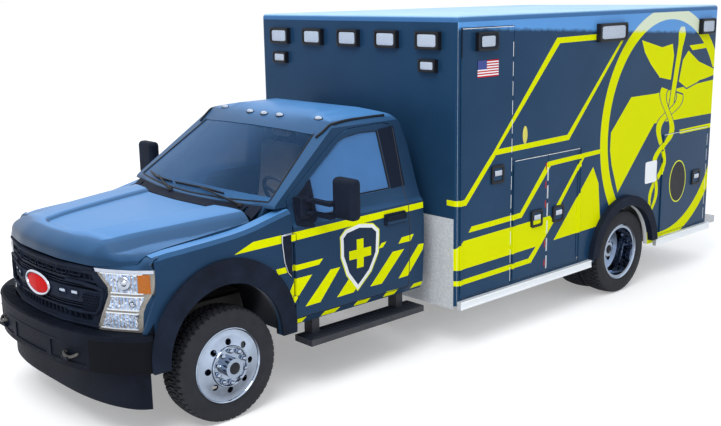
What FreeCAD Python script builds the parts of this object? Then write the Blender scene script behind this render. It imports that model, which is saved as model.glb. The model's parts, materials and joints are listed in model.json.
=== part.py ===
import FreeCAD, Part
import Sketcher
import math
import os

# Ambulance: a box module on the chassis of a medium truck with a two-door cab.
# Frame: +Z up, the front of the vehicle towards -Y, its left side towards +X,
# origin on the ground under the middle of the whole vehicle. Millimetres.

vector = FreeCAD.Vector
document = FreeCAD.newDocument("Ambulance")

# Driving dimensions. Every "_at" value is a distance behind the front axle,
# every "_top", "_bottom" or "_level" value a height above the ground.
DIMENSIONS = (
    # layout
    ("wheelbase", 4380),
    ("front_overhang", 940),
    ("module_at", 2045),
    ("module_length", 3915),
    ("module_width", 2413),
    ("module_bottom", 390),
    ("module_top", 2665),
    ("rear_step_depth", 225),
    # wheels
    ("tyre_radius", 398),
    ("tyre_width", 224),
    ("tread_width", 184),
    ("bead_radius", 250),
    ("bead_width", 168),
    ("shoulder_radius", 322),
    ("front_track", 1760),
    ("rear_track", 1910),
    ("dual_spacing", 260),
    ("rim_lip", 12),
    ("rim_lip_thickness", 8),
    ("rim_wall", 20),
    ("disc_offset", 118),
    ("disc_thickness", 14),
    ("disc_flat_radius", 135),
    ("hub_radius", 68),
    ("hub_length", 58),
    ("hand_hole_radius", 23),
    ("hand_hole_circle", 172),
    ("hand_hole_count", 8),
    ("lug_circle", 112),
    ("lug_radius", 15),
    ("lug_height", 26),
    ("lug_count", 10),
    ("seat_clearance", 0.3),
    # chassis frame
    ("rail_half_width", 432),
    ("rail_flange", 70),
    ("rail_height", 185),
    ("rail_thickness", 8),
    ("rail_front_at", -780),
    ("rail_front_top", 685),
    ("rail_kick_start_at", 1905),
    ("rail_kick_end_at", 2300),
    ("rail_rear_top", 830),
    ("rail_rear_margin", 70),
    ("cross_member_height", 80),
    ("cross_member_depth", 60),
    ("mount_pad_length", 120),
    # axles and steering
    ("axle_tube_radius", 45),
    ("rear_tube_radius", 60),
    ("differential_radius", 175),
    ("differential_width", 230),
    ("kingpin_offset", 690),
    ("knuckle_radius", 48),
    ("knuckle_height", 130),
    ("yoke_thickness", 30),
    ("spindle_radius", 34),
    ("spring_width", 60),
    ("spring_thickness", 36),
    ("front_spring_half_length", 560),
    ("rear_spring_half_length", 640),
    ("rear_spring_offset", 500),
    ("disc_brake_radius", 175),
    ("disc_brake_thickness", 30),
    ("drum_depth", 120),
    # power unit
    ("engine_half_width", 290),
    ("engine_front_at", -430),
    ("engine_rear_at", 330),
    ("engine_bottom", 585),
    ("engine_top", 1090),
    ("gearbox_radius", 150),
    ("gearbox_rear_at", 1150),
    ("gearbox_level", 540),
    ("radiator_half_width", 400),
    ("radiator_thickness", 70),
    ("radiator_at", -640),
    ("radiator_top", 1120),
    ("tank_length", 760),
    ("tank_height", 250),
    ("tank_half_width", 340),
    ("tank_gap_behind_axle", 420),
    ("pipe_radius", 40),
    ("silencer_radius", 80),
    ("silencer_length", 720),
    ("pipe_level", 560),
    # cab
    ("door_gap", 6),
    ("cab_half_width", 1000),
    ("sill_bottom", 536),
    ("cab_floor_bottom", 700),
    ("cab_floor_top", 770),
    ("cab_rear_at", 1893),
    ("cab_roof_top", 1994),
    ("belt_level", 1265),
    ("cab_wall", 50),
    ("cab_skin", 60),
    ("windshield_base_at", 365),
    ("windshield_base_level", 1395),
    ("windshield_top_at", 1025),
    ("windshield_top_level", 1862),
    ("windshield_base_bow", 150),
    ("windshield_top_bow", 86),
    ("glass_thickness", 8),
    ("cab_door_front_at", 590),
    ("cab_door_rear_at", 1737),
    ("cab_door_bottom", 578),
    ("cab_door_rear_gap", 8),
    # hood and fenders
    ("hood_thickness", 24),
    ("hood_half_width", 860),
    ("hood_nose_at", -835),
    ("hood_nose_level", 1182),
    ("hood_front_level", 1330),
    ("hood_rear_level", 1378),
    ("hood_rear_at", 262),
    ("hood_valley_depth", 12),
    ("fender_side", 985),
    ("fender_rear_at", 583),
    ("fender_front_at", -505),
    ("fender_bottom", 500),
    ("fender_skin", 22),
    ("arch_radius", 458),
    ("arch_level", 515),
    ("front_flare_radius", 583),
    ("front_flare_level", 560),
    ("flare_proud", 27),
    # front end
    ("grille_bottom", 750),
    ("bumper_bottom", 500),
    ("bumper_wall", 60),
    ("bumper_pocket_depth", 10),
    ("air_dam_bottom", 250),
    ("air_dam_wall", 24),
    ("grille_top", 1160),
    ("grille_half_width", 618),
    ("grille_ribs", 11),
    ("headlight_depth", 110),
    # mirrors
    ("mirror_reach", 1285),
    ("mirror_at", 827),
    ("mirror_level", 1467),
    ("mirror_width", 220),
    ("mirror_height", 290),
    ("mirror_depth", 95),
    # running boards
    ("board_front_at", 690),
    ("board_rear_at", 1850),
    ("board_outer", 1035),
    ("board_width", 190),
    ("board_top", 412),
    ("board_thickness", 48),
    # module
    ("module_wall", 50),
    ("module_floor_top", 900),
    ("module_floor_thickness", 60),
    ("module_corner", 34),
    ("module_door_thickness", 45),
    ("door_skin", 14),
    ("door_pan_inset", 8),
    ("hinge_proud", 7),
    ("hinge_radius", 6),
    ("hinge_end", 45),
    ("latch_size", 150),
    ("latch_proud", 9),
    ("side_door_start", 40),
    ("front_door_width", 632),
    ("front_door_bottom", 441),
    ("front_door_top", 2573),
    ("mid_door_start", 692),
    ("mid_door_width", 930),
    ("mid_door_bottom", 450),
    ("mid_door_top", 1483),
    ("rear_side_door_start", 2985),
    ("rear_side_door_width", 860),
    ("rear_side_door_bottom", 450),
    ("rear_side_door_top", 1450),
    ("entry_start", 715),
    ("entry_width", 800),
    ("entry_bottom", 430),
    ("entry_top", 2430),
    ("rear_opening_half_width", 590),
    ("rear_opening_top", 2440),
    ("side_window_width", 420),
    ("side_window_bottom", 1560),
    ("side_window_top", 2140),
    ("rear_window_width", 380),
    ("rear_window_bottom", 1620),
    ("rear_window_top", 2160),
    ("locker_inner", 656),
    ("locker_wall", 20),
    ("locker_top", 1530),
    ("right_rear_door_top", 1290),
    ("wheel_box_half_length", 520),
    ("rear_arch_radius", 452),
    ("rear_flare_radius", 545),
    ("rear_flare_proud", 55),
    # trim
    ("rub_rail_bottom", 362),
    ("rub_rail_top", 430),
    ("rub_rail_proud", 34),
    ("stone_guard_top", 1100),
    ("stone_guard_thickness", 6),
    ("step_thickness", 70),
    ("step_half_width", 1180),
    ("step_bottom", 385),
    ("light_width", 249),
    ("light_height", 139),
    ("light_proud", 38),
    ("light_level", 2475),
    ("light_pitch", 458),
    ("marker_width", 46),
    ("marker_height", 26),
    # furniture
    ("seat_width", 520),
    ("seat_offset", 430),
    ("seat_at", 1240),
    ("cushion_top", 1130),
    ("cushion_thickness", 150),
    ("back_top", 1640),
    ("steering_wheel_radius", 190),
    ("bench_top", 1350),
    ("bench_pad", 80),
)

sheet = document.addObject("Spreadsheet::Sheet", "Dims")
for row, (name, value) in enumerate(DIMENSIONS, start=1):
    sheet.set(f"A{row}", name)
    sheet.set(f"B{row}", str(value))
    sheet.setAlias(f"B{row}", name)
document.recompute()


# A size that knows both its present value and the expression that drives it.
class Size:
    def __init__(self, value, text):
        self.value = float(value)
        self.text = text

    def __add__(self, other):
        other = as_size(other)
        return Size(self.value + other.value, f"({self.text} + {other.text})")

    def __radd__(self, other):
        return as_size(other) + self

    def __sub__(self, other):
        other = as_size(other)
        return Size(self.value - other.value, f"({self.text} - {other.text})")

    def __rsub__(self, other):
        return as_size(other) - self

    def __mul__(self, other):
        other = as_size(other)
        return Size(self.value * other.value, f"({self.text} * {other.text})")

    __rmul__ = __mul__

    def __truediv__(self, other):
        other = as_size(other)
        return Size(self.value / other.value, f"({self.text} / {other.text})")

    def __neg__(self):
        return self * -1

    def __float__(self):
        return self.value


def as_size(item):
    if isinstance(item, Size):
        return item
    return Size(item, f"({item:.6f})")


class Dimensions:
    def __getattr__(self, name):
        return Size(getattr(sheet, name), f"Dims.{name}")


d = Dimensions()

total_length = d.front_overhang + d.module_at + d.module_length + d.rear_step_depth
front_axle = d.front_overhang - total_length / 2
rear_axle = front_axle + d.wheelbase
half = d.module_width / 2
module_front = front_axle + d.module_at
module_rear = module_front + d.module_length
floor_bottom = d.module_floor_top - d.module_floor_thickness
roof_bottom = d.module_top - d.module_wall
inner_half = half - d.module_wall
clear = d.seat_clearance
SIDES = (("left", 1), ("right", -1))
PLANES = {"x": "YZ_Plane", "y": "XZ_Plane", "z": "XY_Plane"}
parts = []


def at(distance):
    return front_axle + distance


# Building blocks for bodies made from sketches.

def new_body(label):
    body = document.addObject("PartDesign::Body", label)
    body.Label = label
    body.Placement = FreeCAD.Placement()
    parts.append(body)
    return body


def origin_item(body, role):
    for item in body.Origin.OriginFeatures:
        if item.Role == role:
            return item
    raise ValueError(role)


def rectangle(first, second):
    return [(first[0], second[0]), (first[1], second[0]), (first[1], second[1]), (first[0], second[1])]


def circle(first, second, radius):
    return ("circle", as_size(first), as_size(second), as_size(radius))


def add_sketch(body, normal, level, outlines):
    sketch = body.newObject("Sketcher::SketchObject", "Profile")
    sketch.AttachmentSupport = [(origin_item(body, PLANES[normal]), "")]
    sketch.MapMode = "FlatFace"
    height = -as_size(level) if normal == "y" else as_size(level)
    sketch.AttachmentOffset = FreeCAD.Placement(vector(0, 0, height.value), FreeCAD.Rotation())
    sketch.setExpression("AttachmentOffset.Base.z", height.text)
    for outline in outlines:
        base = sketch.GeometryCount
        if outline[0] == "circle":
            first, second, radius = outline[1:]
            centre = vector(first.value, second.value, 0)
            sketch.addGeometry(Part.Circle(centre, vector(0, 0, 1), radius.value), False)
            bound = [
                ("DistanceX", (-1, 1, base, 3), first),
                ("DistanceY", (-1, 1, base, 3), second),
                ("Radius", (base,), radius),
            ]
        else:
            points = [(as_size(p), as_size(q)) for p, q in outline]
            count = len(points)
            corners = [vector(p.value, q.value, 0) for p, q in points]
            lines = [Part.LineSegment(corners[i], corners[(i + 1) % count]) for i in range(count)]
            sketch.addGeometry(lines, False)
            for i in range(count):
                joint = Sketcher.Constraint("Coincident", base + i, 2, base + (i + 1) % count, 1)
                sketch.addConstraint(joint)
            bound = []
            for i, (p, q) in enumerate(points):
                bound.append(("DistanceX", (-1, 1, base + i, 1), p))
                bound.append(("DistanceY", (-1, 1, base + i, 1), q))
        for kind, where, size in bound:
            number = sketch.addConstraint(Sketcher.Constraint(kind, *where, size.value))
            sketch.setExpression(f"Constraints[{number}]", size.text)
    return sketch


def slab(body, normal, span, outlines, remove=False):
    low, high = as_size(span[0]), as_size(span[1])
    sketch = add_sketch(body, normal, high if normal == "y" else low, outlines)
    length = high - low
    if remove:
        feature = body.newObject("PartDesign::Pocket", "Cut")
        feature.Reversed = True
    else:
        feature = body.newObject("PartDesign::Pad", "Pad")
    feature.Profile = sketch
    feature.Length = length.value
    feature.setExpression("Length", length.text)
    return feature


def ordered(span, side=1):
    first, second = side * as_size(span[0]), side * as_size(span[1])
    return (first, second) if side > 0 else (second, first)


def block(body, xs, ys, zs, side=1, remove=False):
    return slab(body, "z", zs, [rectangle(ordered(xs, side), ys)], remove)


def rod_along(body, normal, span, first, second, radius, remove=False):
    return slab(body, normal, span, [circle(first, second, radius)], remove)


def turned(body, outline, remove=False):
    sketch = add_sketch(body, "y", 0, [outline])
    kind = "PartDesign::Groove" if remove else "PartDesign::Revolution"
    feature = body.newObject(kind, "Turned")
    feature.Profile = sketch
    feature.ReferenceAxis = (origin_item(body, "X_Axis"), [""])
    feature.Angle = 360
    return feature


def repeated(body, feature, count):
    pattern = body.newObject("PartDesign::PolarPattern", "Ring")
    pattern.Originals = [feature]
    pattern.Axis = (origin_item(body, "X_Axis"), [""])
    pattern.Angle = 360
    pattern.Occurrences = int(as_size(count).value)
    pattern.setExpression("Occurrences", as_size(count).text)
    body.Tip = pattern
    return pattern


def round_edges(body, radius, chosen):
    document.recompute()
    names = []
    for number, edge in enumerate(body.Shape.Edges, start=1):
        if chosen(edge):
            names.append(f"Edge{number}")
    last = body.Tip
    fillet = body.newObject("PartDesign::Fillet", "Rounded")
    fillet.Base = (last, names)
    fillet.Radius = as_size(radius).value
    fillet.setExpression("Radius", as_size(radius).text)
    return fillet


def runs_along(edge, axis):
    if len(edge.Vertexes) != 2:
        return False
    step = edge.Vertexes[1].Point - edge.Vertexes[0].Point
    spans = {"x": abs(step.x), "y": abs(step.y), "z": abs(step.z)}
    return spans[axis] > 0.999 * step.Length


def place(body, x, y, z, turn=0):
    body.Placement = FreeCAD.Placement(
        vector(float(x), float(y), float(z)), FreeCAD.Rotation(vector(0, 0, 1), turn)
    )
    for name, size in (("x", x), ("y", y), ("z", z)):
        body.setExpression(f"Placement.Base.{name}", as_size(size).text)


# Building blocks for free-form panels.

def new_panel(label, shape):
    panel = document.addObject("Part::Feature", label)
    panel.Label = label
    panel.Shape = shape
    panel.Placement = FreeCAD.Placement()
    parts.append(panel)
    return panel


def wire_of(points):
    return Part.makePolygon(points + [points[0]])


def lofted(sections):
    return Part.makeLoft([wire_of(points) for points in sections], True, False)


def prism(normal, span, outline):
    low, high = float(span[0]), float(span[1])
    flat = []
    for first, second in outline:
        first, second = float(first), float(second)
        if normal == "x":
            flat.append(vector(low, first, second))
        elif normal == "y":
            flat.append(vector(first, low, second))
        else:
            flat.append(vector(first, second, low))
    step = {"x": vector(1, 0, 0), "y": vector(0, 1, 0), "z": vector(0, 0, 1)}[normal]
    return Part.Face(wire_of(flat)).extrude(step * (high - low))


def cuboid(xs, ys, zs):
    low = vector(min(map(float, xs)), min(map(float, ys)), min(map(float, zs)))
    high = vector(max(map(float, xs)), max(map(float, ys)), max(map(float, zs)))
    size = high - low
    return Part.makeBox(size.x, size.y, size.z, low)


def mirrored(shape):
    return shape.mirror(vector(0, 0, 0), vector(1, 0, 0))


def grown(outline, amount):
    flat = [vector(float(p), float(q), 0) for p, q in outline]
    offset = wire_of(flat).makeOffset2D(amount, 2)
    return [(v.X, v.Y) for v in offset.OrderedVertexes]


def level_at(table, position):
    for (p0, q0), (p1, q1) in zip(table, table[1:]):
        if position <= p1:
            return q0 + (q1 - q0) * (position - p0) / (p1 - p0)
    return table[-1][1]


# Chassis frame: two channel rails with a kick-up behind the cab, cross members and mounts.

rail_front_bottom = d.rail_front_top - d.rail_height
rail_rear_bottom = d.rail_rear_top - d.rail_height
rail_rear = module_rear - d.rail_rear_margin
rail_web = d.rail_half_width - d.rail_thickness
rail_inner = d.rail_half_width - d.rail_flange


def rail_profile(inset):
    return [
        (at(d.rail_front_at), rail_front_bottom + inset),
        (at(d.rail_kick_start_at), rail_front_bottom + inset),
        (at(d.rail_kick_end_at), rail_rear_bottom + inset),
        (rail_rear, rail_rear_bottom + inset),
        (rail_rear, d.rail_rear_top - inset),
        (at(d.rail_kick_end_at), d.rail_rear_top - inset),
        (at(d.rail_kick_start_at), d.rail_front_top - inset),
        (at(d.rail_front_at), d.rail_front_top - inset),
    ]


chassis = new_body("chassis_frame")
for name, side in SIDES:
    slab(chassis, "x", ordered((rail_inner, d.rail_half_width), side), [rail_profile(0)])
for name, side in SIDES:
    channel = rail_profile(d.rail_thickness)
    slab(chassis, "x", ordered((rail_inner, rail_web), side), [channel], remove=True)

low_member = (d.rail_front_top - d.rail_thickness - d.cross_member_height, d.rail_front_top - d.rail_thickness)
high_member = (d.rail_rear_top - d.rail_thickness - d.cross_member_height, d.rail_rear_top - d.rail_thickness)
rear_members = (at(2300), rear_axle - 760, rear_axle + 330, rail_rear - d.cross_member_depth)
block(chassis, (-rail_web, rail_web), (at(d.rail_front_at), at(d.rail_front_at) + d.cross_member_depth), low_member)
block(chassis, (-rail_web, rail_web), (at(1300), at(1300) + d.cross_member_depth), low_member)
for station in rear_members:
    block(chassis, (-rail_web, rail_web), (station, station + d.cross_member_depth), high_member)

cab_pads = (at(720), at(1420))
module_pads = (at(2320), at(2950), rear_axle + 480, rail_rear - 220)
for name, side in SIDES:
    for station in cab_pads:
        block(chassis, (rail_inner, d.rail_half_width), (station, station + d.mount_pad_length),
              (d.rail_front_top, d.cab_floor_bottom), side)
    for station in module_pads:
        block(chassis, (rail_inner, d.rail_half_width), (station, station + d.mount_pad_length),
              (d.rail_rear_top, floor_bottom), side)

# Rear spring hangers reach out and down from the rails.
spring_in = d.rear_spring_offset - d.spring_width / 2
spring_out = d.rear_spring_offset + d.spring_width / 2
hanger_depth = 50
rear_spring_top = d.tyre_radius + d.rear_tube_radius + d.spring_thickness
hanger_bottom = rear_spring_top + 60
for name, side in SIDES:
    for station in (rear_axle - d.rear_spring_half_length, rear_axle + d.rear_spring_half_length - hanger_depth):
        block(chassis, (d.rail_half_width, spring_out), (station, station + hanger_depth),
              (hanger_bottom, rail_rear_bottom + 90), side)

# Axles with their leaf springs; the front one carries the steering yokes.

axles = new_body("axles")
yoke_in = d.kingpin_offset - 130
yoke_half = d.knuckle_height / 2 + clear
yoke_web = d.kingpin_offset - d.knuckle_radius - 8
rod_along(axles, "x", (-yoke_in - 10, yoke_in + 10), front_axle, d.tyre_radius, d.axle_tube_radius)
rod_along(axles, "x", (d.differential_width / -2, d.differential_width / 2), front_axle, d.tyre_radius,
          d.differential_radius - 45)
for name, side in SIDES:
    block(axles, (yoke_in, yoke_web), (front_axle - 45, front_axle + 45),
          (d.tyre_radius - yoke_half, d.tyre_radius + yoke_half), side)
    for lift in (1, -1):
        near = d.tyre_radius + lift * yoke_half
        far = near + lift * d.yoke_thickness
        block(axles, (yoke_in, d.kingpin_offset + 45), (front_axle - 45, front_axle + 45),
              (near, far) if lift > 0 else (far, near), side)
    # front leaf pack, from rail to rail end, resting on the axle
    seat_level = d.tyre_radius + d.axle_tube_radius - 4
    front_pack = [
        (front_axle - d.front_spring_half_length, rail_front_bottom),
        (front_axle - d.front_spring_half_length, rail_front_bottom - 18),
        (front_axle - 90, seat_level),
        (front_axle + 90, seat_level),
        (front_axle + d.front_spring_half_length, rail_front_bottom - 18),
        (front_axle + d.front_spring_half_length, rail_front_bottom),
        (front_axle + d.front_spring_half_length - 60, rail_front_bottom),
        (front_axle + 90, seat_level + d.spring_thickness),
        (front_axle - 90, seat_level + d.spring_thickness),
        (front_axle - d.front_spring_half_length + 60, rail_front_bottom),
    ]
    slab(axles, "x", ordered((rail_inner, rail_inner + d.spring_width), side), [front_pack])
rear_tube_end = d.rear_track / 2 - d.disc_thickness - clear
rod_along(axles, "x", (-rear_tube_end, rear_tube_end), rear_axle, d.tyre_radius, d.rear_tube_radius)
rod_along(axles, "x", (d.differential_width / -2, d.differential_width / 2), rear_axle, d.tyre_radius,
          d.differential_radius)
for name, side in SIDES:
    seat_level = d.tyre_radius + d.rear_tube_radius - 4
    rear_pack = [
        (rear_axle - d.rear_spring_half_length, hanger_bottom),
        (rear_axle - d.rear_spring_half_length, hanger_bottom - 24),
        (rear_axle - 120, seat_level),
        (rear_axle + 120, seat_level),
        (rear_axle + d.rear_spring_half_length, hanger_bottom - 24),
        (rear_axle + d.rear_spring_half_length, hanger_bottom),
        (rear_axle + d.rear_spring_half_length - 50, hanger_bottom),
        (rear_axle + 120, seat_level + d.spring_thickness),
        (rear_axle - 120, seat_level + d.spring_thickness),
        (rear_axle - d.rear_spring_half_length + 50, hanger_bottom),
    ]
    slab(axles, "x", ordered((spring_in, spring_out), side), [rear_pack])

# Engine and gearbox as one closed mass between the rails, with the radiator ahead of it.

engine = new_body("engine_block")
block(engine, (-d.engine_half_width, d.engine_half_width), (at(d.engine_front_at), at(d.engine_rear_at)),
      (d.engine_bottom, d.engine_top))
rod_along(engine, "y", (at(d.engine_rear_at), at(d.gearbox_rear_at)), 0, d.gearbox_level,
          d.gearbox_radius)
for name, side in SIDES:
    block(engine, (d.engine_half_width, rail_inner), (at(-60), at(60)),
          (d.rail_front_top - 45, d.rail_front_top), side)
radiator_rear = at(d.radiator_at) + d.radiator_thickness
block(engine, (-d.radiator_half_width, d.radiator_half_width), (at(d.radiator_at), radiator_rear),
      (d.rail_front_top, d.radiator_top))

# Exhaust on the right, outside the rail, and the fuel tank between the rails behind the axle.

exhaust = new_body("exhaust")
silencer_x = -(d.rail_half_width + d.silencer_radius + 20)
silencer_start = at(2400)
tail_x = -(spring_out + d.pipe_radius + 12)
rod_along(exhaust, "y", (silencer_start, silencer_start + d.silencer_length), silencer_x, d.pipe_level,
          d.silencer_radius)
rod_along(exhaust, "y", (at(1500), silencer_start + 20), -(d.rail_half_width + d.pipe_radius + 15), d.pipe_level,
          d.pipe_radius)
rod_along(exhaust, "y", (silencer_start + d.silencer_length - 20, module_rear - 150), tail_x, d.pipe_level,
          d.pipe_radius)
for station in (silencer_start + 80, silencer_start + d.silencer_length - 120):
    block(exhaust, (-silencer_x - 20, -silencer_x + 20), (station, station + 40),
          (d.pipe_level + 80, floor_bottom), -1)

tank = new_body("fuel_tank")
tank_start = rear_axle + d.tank_gap_behind_axle
member_bottom = d.rail_rear_top - d.rail_thickness - d.cross_member_height
block(tank, (-d.tank_half_width, d.tank_half_width), (tank_start, tank_start + d.tank_length),
      (member_bottom - 60 - d.tank_height, member_bottom - 60))
round_edges(tank, 40, lambda edge: runs_along(edge, "y"))
for station in (tank_start + 120, tank_start + d.tank_length - 160):
    block(tank, (-rail_web, rail_web), (station, station + 40), (member_bottom - 60, member_bottom - 40))

# Steering knuckles: a turned post on the kingpin axis, a spindle, and a caliper over the rotor.

rotor_in = d.front_track / 2 - 42
rotor_out = rotor_in + d.disc_brake_thickness
spindle_end = d.front_track / 2 + d.disc_offset - d.disc_thickness - clear
caliper_gap = 6
for name, side in SIDES:
    knuckle = new_body(f"knuckle_{name}")
    rod_along(knuckle, "z", (d.tyre_radius - d.knuckle_height / 2, d.tyre_radius + d.knuckle_height / 2),
              side * d.kingpin_offset, front_axle, d.knuckle_radius)
    rod_along(knuckle, "x", ordered((d.kingpin_offset, spindle_end), side), front_axle, d.tyre_radius,
              d.spindle_radius)
    block(knuckle, (d.kingpin_offset + 20, rotor_in - 20), (front_axle + 10, front_axle + 150),
          (d.tyre_radius - 30, d.tyre_radius + 30), side)
    block(knuckle, (rotor_in - 30, rotor_out + 30), (front_axle + 105, front_axle + 190),
          (d.tyre_radius - 60, d.tyre_radius + 60), side)
    rod_along(knuckle, "x", ordered((rotor_in - caliper_gap, rotor_out + caliper_gap), side), front_axle,
              d.tyre_radius, d.disc_brake_radius + caliper_gap, remove=True)
    rod_along(knuckle, "x", ordered((rotor_in - 40, rotor_out + caliper_gap + 1), side), front_axle, d.tyre_radius,
              d.spindle_radius)

# Tyres and wheels are built about their own centre, outer face towards +X.

tyre_half = d.tyre_width / 2
tread_half = d.tread_width / 2
bead_half = d.bead_width / 2
lip_radius = d.bead_radius + d.rim_lip
barrel_outer = d.bead_radius - clear
barrel_inner = barrel_outer - d.rim_wall
lip_in = bead_half + 6
lip_edge = lip_in + d.rim_lip_thickness
hub_bore = d.spindle_radius + clear


def tyre_outline(shift):
    return [
        (shift - bead_half, d.bead_radius),
        (shift + bead_half, d.bead_radius),
        (shift + tyre_half, d.shoulder_radius),
        (shift + tread_half, d.tyre_radius),
        (shift - tread_half, d.tyre_radius),
        (shift - tyre_half, d.shoulder_radius),
    ]


# One wheel: rim barrel with a lip each side, and a dished disc that faces "outward" from it.
def rim_outline(shift, outward, offset):
    face = shift + outward * offset
    back = face - outward * d.disc_thickness
    near = shift + outward * lip_edge
    return [
        (shift - outward * lip_edge, barrel_inner),
        (shift - outward * lip_edge, lip_radius),
        (shift - outward * lip_in, lip_radius),
        (shift - outward * lip_in, barrel_outer),
        (shift + outward * lip_in, barrel_outer),
        (shift + outward * lip_in, lip_radius),
        (near, lip_radius),
        (near, barrel_inner),
        (face, d.disc_flat_radius),
        (face, 0),
        (back, 0),
        (back, d.disc_flat_radius),
        (near - outward * d.disc_thickness * 1.3, barrel_inner),
    ]


def ring_outline(span, inner, outer):
    return rectangle(span, (inner, outer))


def dress_wheel(body, face, hub_end):
    hole = rod_along(body, "x", (face - 120, face + 20), d.hand_hole_circle, 0, d.hand_hole_radius, remove=True)
    repeated(body, hole, d.hand_hole_count)
    lug = rod_along(body, "x", (face - 2, face + d.lug_height), 0, d.lug_circle, d.lug_radius)
    repeated(body, lug, d.lug_count)
    rod_along(body, "x", (face - 2, hub_end), 0, 0, d.hub_radius)


for name, side in SIDES:
    turn = 0 if side > 0 else 180
    tyre = new_body(f"front_tyre_{name}")
    turned(tyre, tyre_outline(0))
    place(tyre, side * d.front_track / 2, front_axle, d.tyre_radius, turn)

    rim = new_body(f"front_rim_{name}")
    turned(rim, rim_outline(0, 1, d.disc_offset))
    dress_wheel(rim, d.disc_offset, d.disc_offset + d.hub_length)
    rotor_span = (rotor_in - d.front_track / 2, rotor_out - d.front_track / 2)
    turned(rim, ring_outline(rotor_span, hub_bore, d.disc_brake_radius))
    turned(rim, ring_outline((rotor_span[1], d.disc_offset - d.disc_thickness), hub_bore, d.hub_radius + 12))
    place(rim, side * d.front_track / 2, front_axle, d.tyre_radius, turn)

    pair = new_body(f"rear_tyres_{name}")
    turned(pair, tyre_outline(d.dual_spacing / 2))
    turned(pair, tyre_outline(-d.dual_spacing / 2))
    place(pair, side * d.rear_track / 2, rear_axle, d.tyre_radius, turn)

    rims = new_body(f"rear_rims_{name}")
    turned(rims, rim_outline(d.dual_spacing / 2, -1, d.dual_spacing / 2))
    turned(rims, rim_outline(-d.dual_spacing / 2, 1, d.dual_spacing / 2))
    dress_wheel(rims, d.disc_thickness, d.disc_thickness + d.hub_length + 40)
    turned(rims, ring_outline((-d.drum_depth, -d.disc_thickness), d.rear_tube_radius + clear, d.disc_brake_radius))
    place(rims, side * d.rear_track / 2, rear_axle, d.tyre_radius, turn)

# Cab shell: side profile lofted across the width with the bow of the windshield, trimmed to the
# front view (tumblehome and roof crown), hollowed, and opened for doors and windows.

CAB_SIDE = (
    (520, 640, 0, 0),
    (520, 1240, 0.5, 0),
    (330, 1300, 0.8, 0),
    (365, 1395, 1.0, 22),
    (1025, 1862, 0.57, -24),
    (1120, 1925, 0.5, -20),
    (1250, 1972, 0.3, -12),
    (1450, 1994, 0.1, 0),
    (1650, 1968, 0, 0),
    (1765, 1925, 0, 0),
    (1822, 1850, 0, 0),
    (1860, 1680, 0, 0),
    (1893, 1268, 0, 0),
    (1890, 536, 0, 0),
    (590, 536, 0, 0),
)
CAB_FRONT = (
    (955, 536), (985, 600), (1000, 900), (1000, 1060), (985, 1252), (957, 1285), (925, 1385),
    (800, 1880), (765, 1912), (690, 1938), (500, 1970), (250, 1989), (0, 1996),
)


def cab_section(position, inset, drop):
    share = (position / float(d.cab_half_width)) ** 2
    bow = float(d.windshield_base_bow)
    points = []
    for distance, level, part, lift in CAB_SIDE:
        points.append(vector(position, float(at(distance)) + bow * part * share + inset, level + lift * share - drop))
    return points


def cab_solid(inset=0.0, drop=0.0, narrower=0.0):
    reach = float(d.cab_half_width) + 20
    stations = [reach * k / 4 for k in range(-4, 5)]
    side_solid = lofted([cab_section(position, inset, drop) for position in stations])
    outline = [(-x + narrower, z) for x, z in CAB_FRONT[:-1]] + [(0, CAB_FRONT[-1][1])]
    outline += [(x - narrower, z) for x, z in reversed(CAB_FRONT[:-1])]
    return side_solid.common(prism("y", (at(0), at(2000)), outline))


cab_outer = cab_solid()

DOOR_OUTLINE = (
    (590, 578), (590, 1445), (1100, 1786), (1185, 1832), (1280, 1862), (1640, 1872), (1700, 1858),
    (1737, 1815), (1737, 578),
)
WINDOW_OUTLINE = (
    (790, 1290), (1010, 1290), (1085, 1375), (1600, 1378), (1572, 1818), (1400, 1824), (1240, 1805),
    (1179, 1788), (835, 1560), (790, 1525),
)


def behind_axle(outline):
    return [(float(at(distance)), level) for distance, level in outline]


door_shift = float(d.door_gap)
cab_inner = cab_solid(float(d.cab_wall), float(d.cab_wall), 45).common(
    cuboid((-925, 925), (at(640), at(1850)), (d.cab_floor_top, 1950)))
cab_void = cab_inner.common(cab_solid(0, 45, 0))
reach = float(d.cab_half_width) + 100
sill_in = float(d.cab_half_width) - float(d.cab_skin) - 15
door_in = 740
bulkhead_out = 914
door_hole = prism("x", (door_in, reach), behind_axle(DOOR_OUTLINE))
door_zone = door_hole.cut(cuboid((0, sill_in), (at(0), at(2100)), (0, d.cab_floor_top)))
door_zone = door_zone.cut(cuboid((0, bulkhead_out), (at(0), at(640)), (0, 1400)))

WINDSHIELD_FRONT = (
    (-842, 1426), (-430, 1410), (0, 1404), (430, 1410), (842, 1426), (692, 1832), (350, 1846), (0, 1851),
    (-350, 1846), (-692, 1832),
)
windshield_hole = prism("y", (at(300), at(1250)), WINDSHIELD_FRONT)
REAR_WINDOW = ((-560, 1420), (560, 1420), (520, 1760), (-520, 1760))
rear_window_hole = prism("y", (at(1700), at(2000)), REAR_WINDOW)

shell = cab_outer.cut(cab_void)
shell = shell.cut(cuboid((-800, 800), (at(400), at(2000)), (0, d.cab_floor_bottom)))
for turn in (False, True):
    opening = mirrored(door_zone) if turn else door_zone
    shell = shell.cut(opening)
shell = shell.cut(windshield_hole).cut(rear_window_hole)
# The fenders cover the cab ahead of its doors, outside and below the cowl corners.
for x0, x1 in ((835, 1100), (-1100, -835)):
    shell = shell.cut(cuboid((x0, x1), (at(200), at(d.cab_door_front_at)), (0, 1392)))
new_panel("cab_shell", shell)


def sheet_between(solid, first, second):
    outer = solid.copy()
    outer.translate(vector(*first))
    inner = solid.copy()
    inner.translate(vector(*second))
    return outer.cut(inner)


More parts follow.
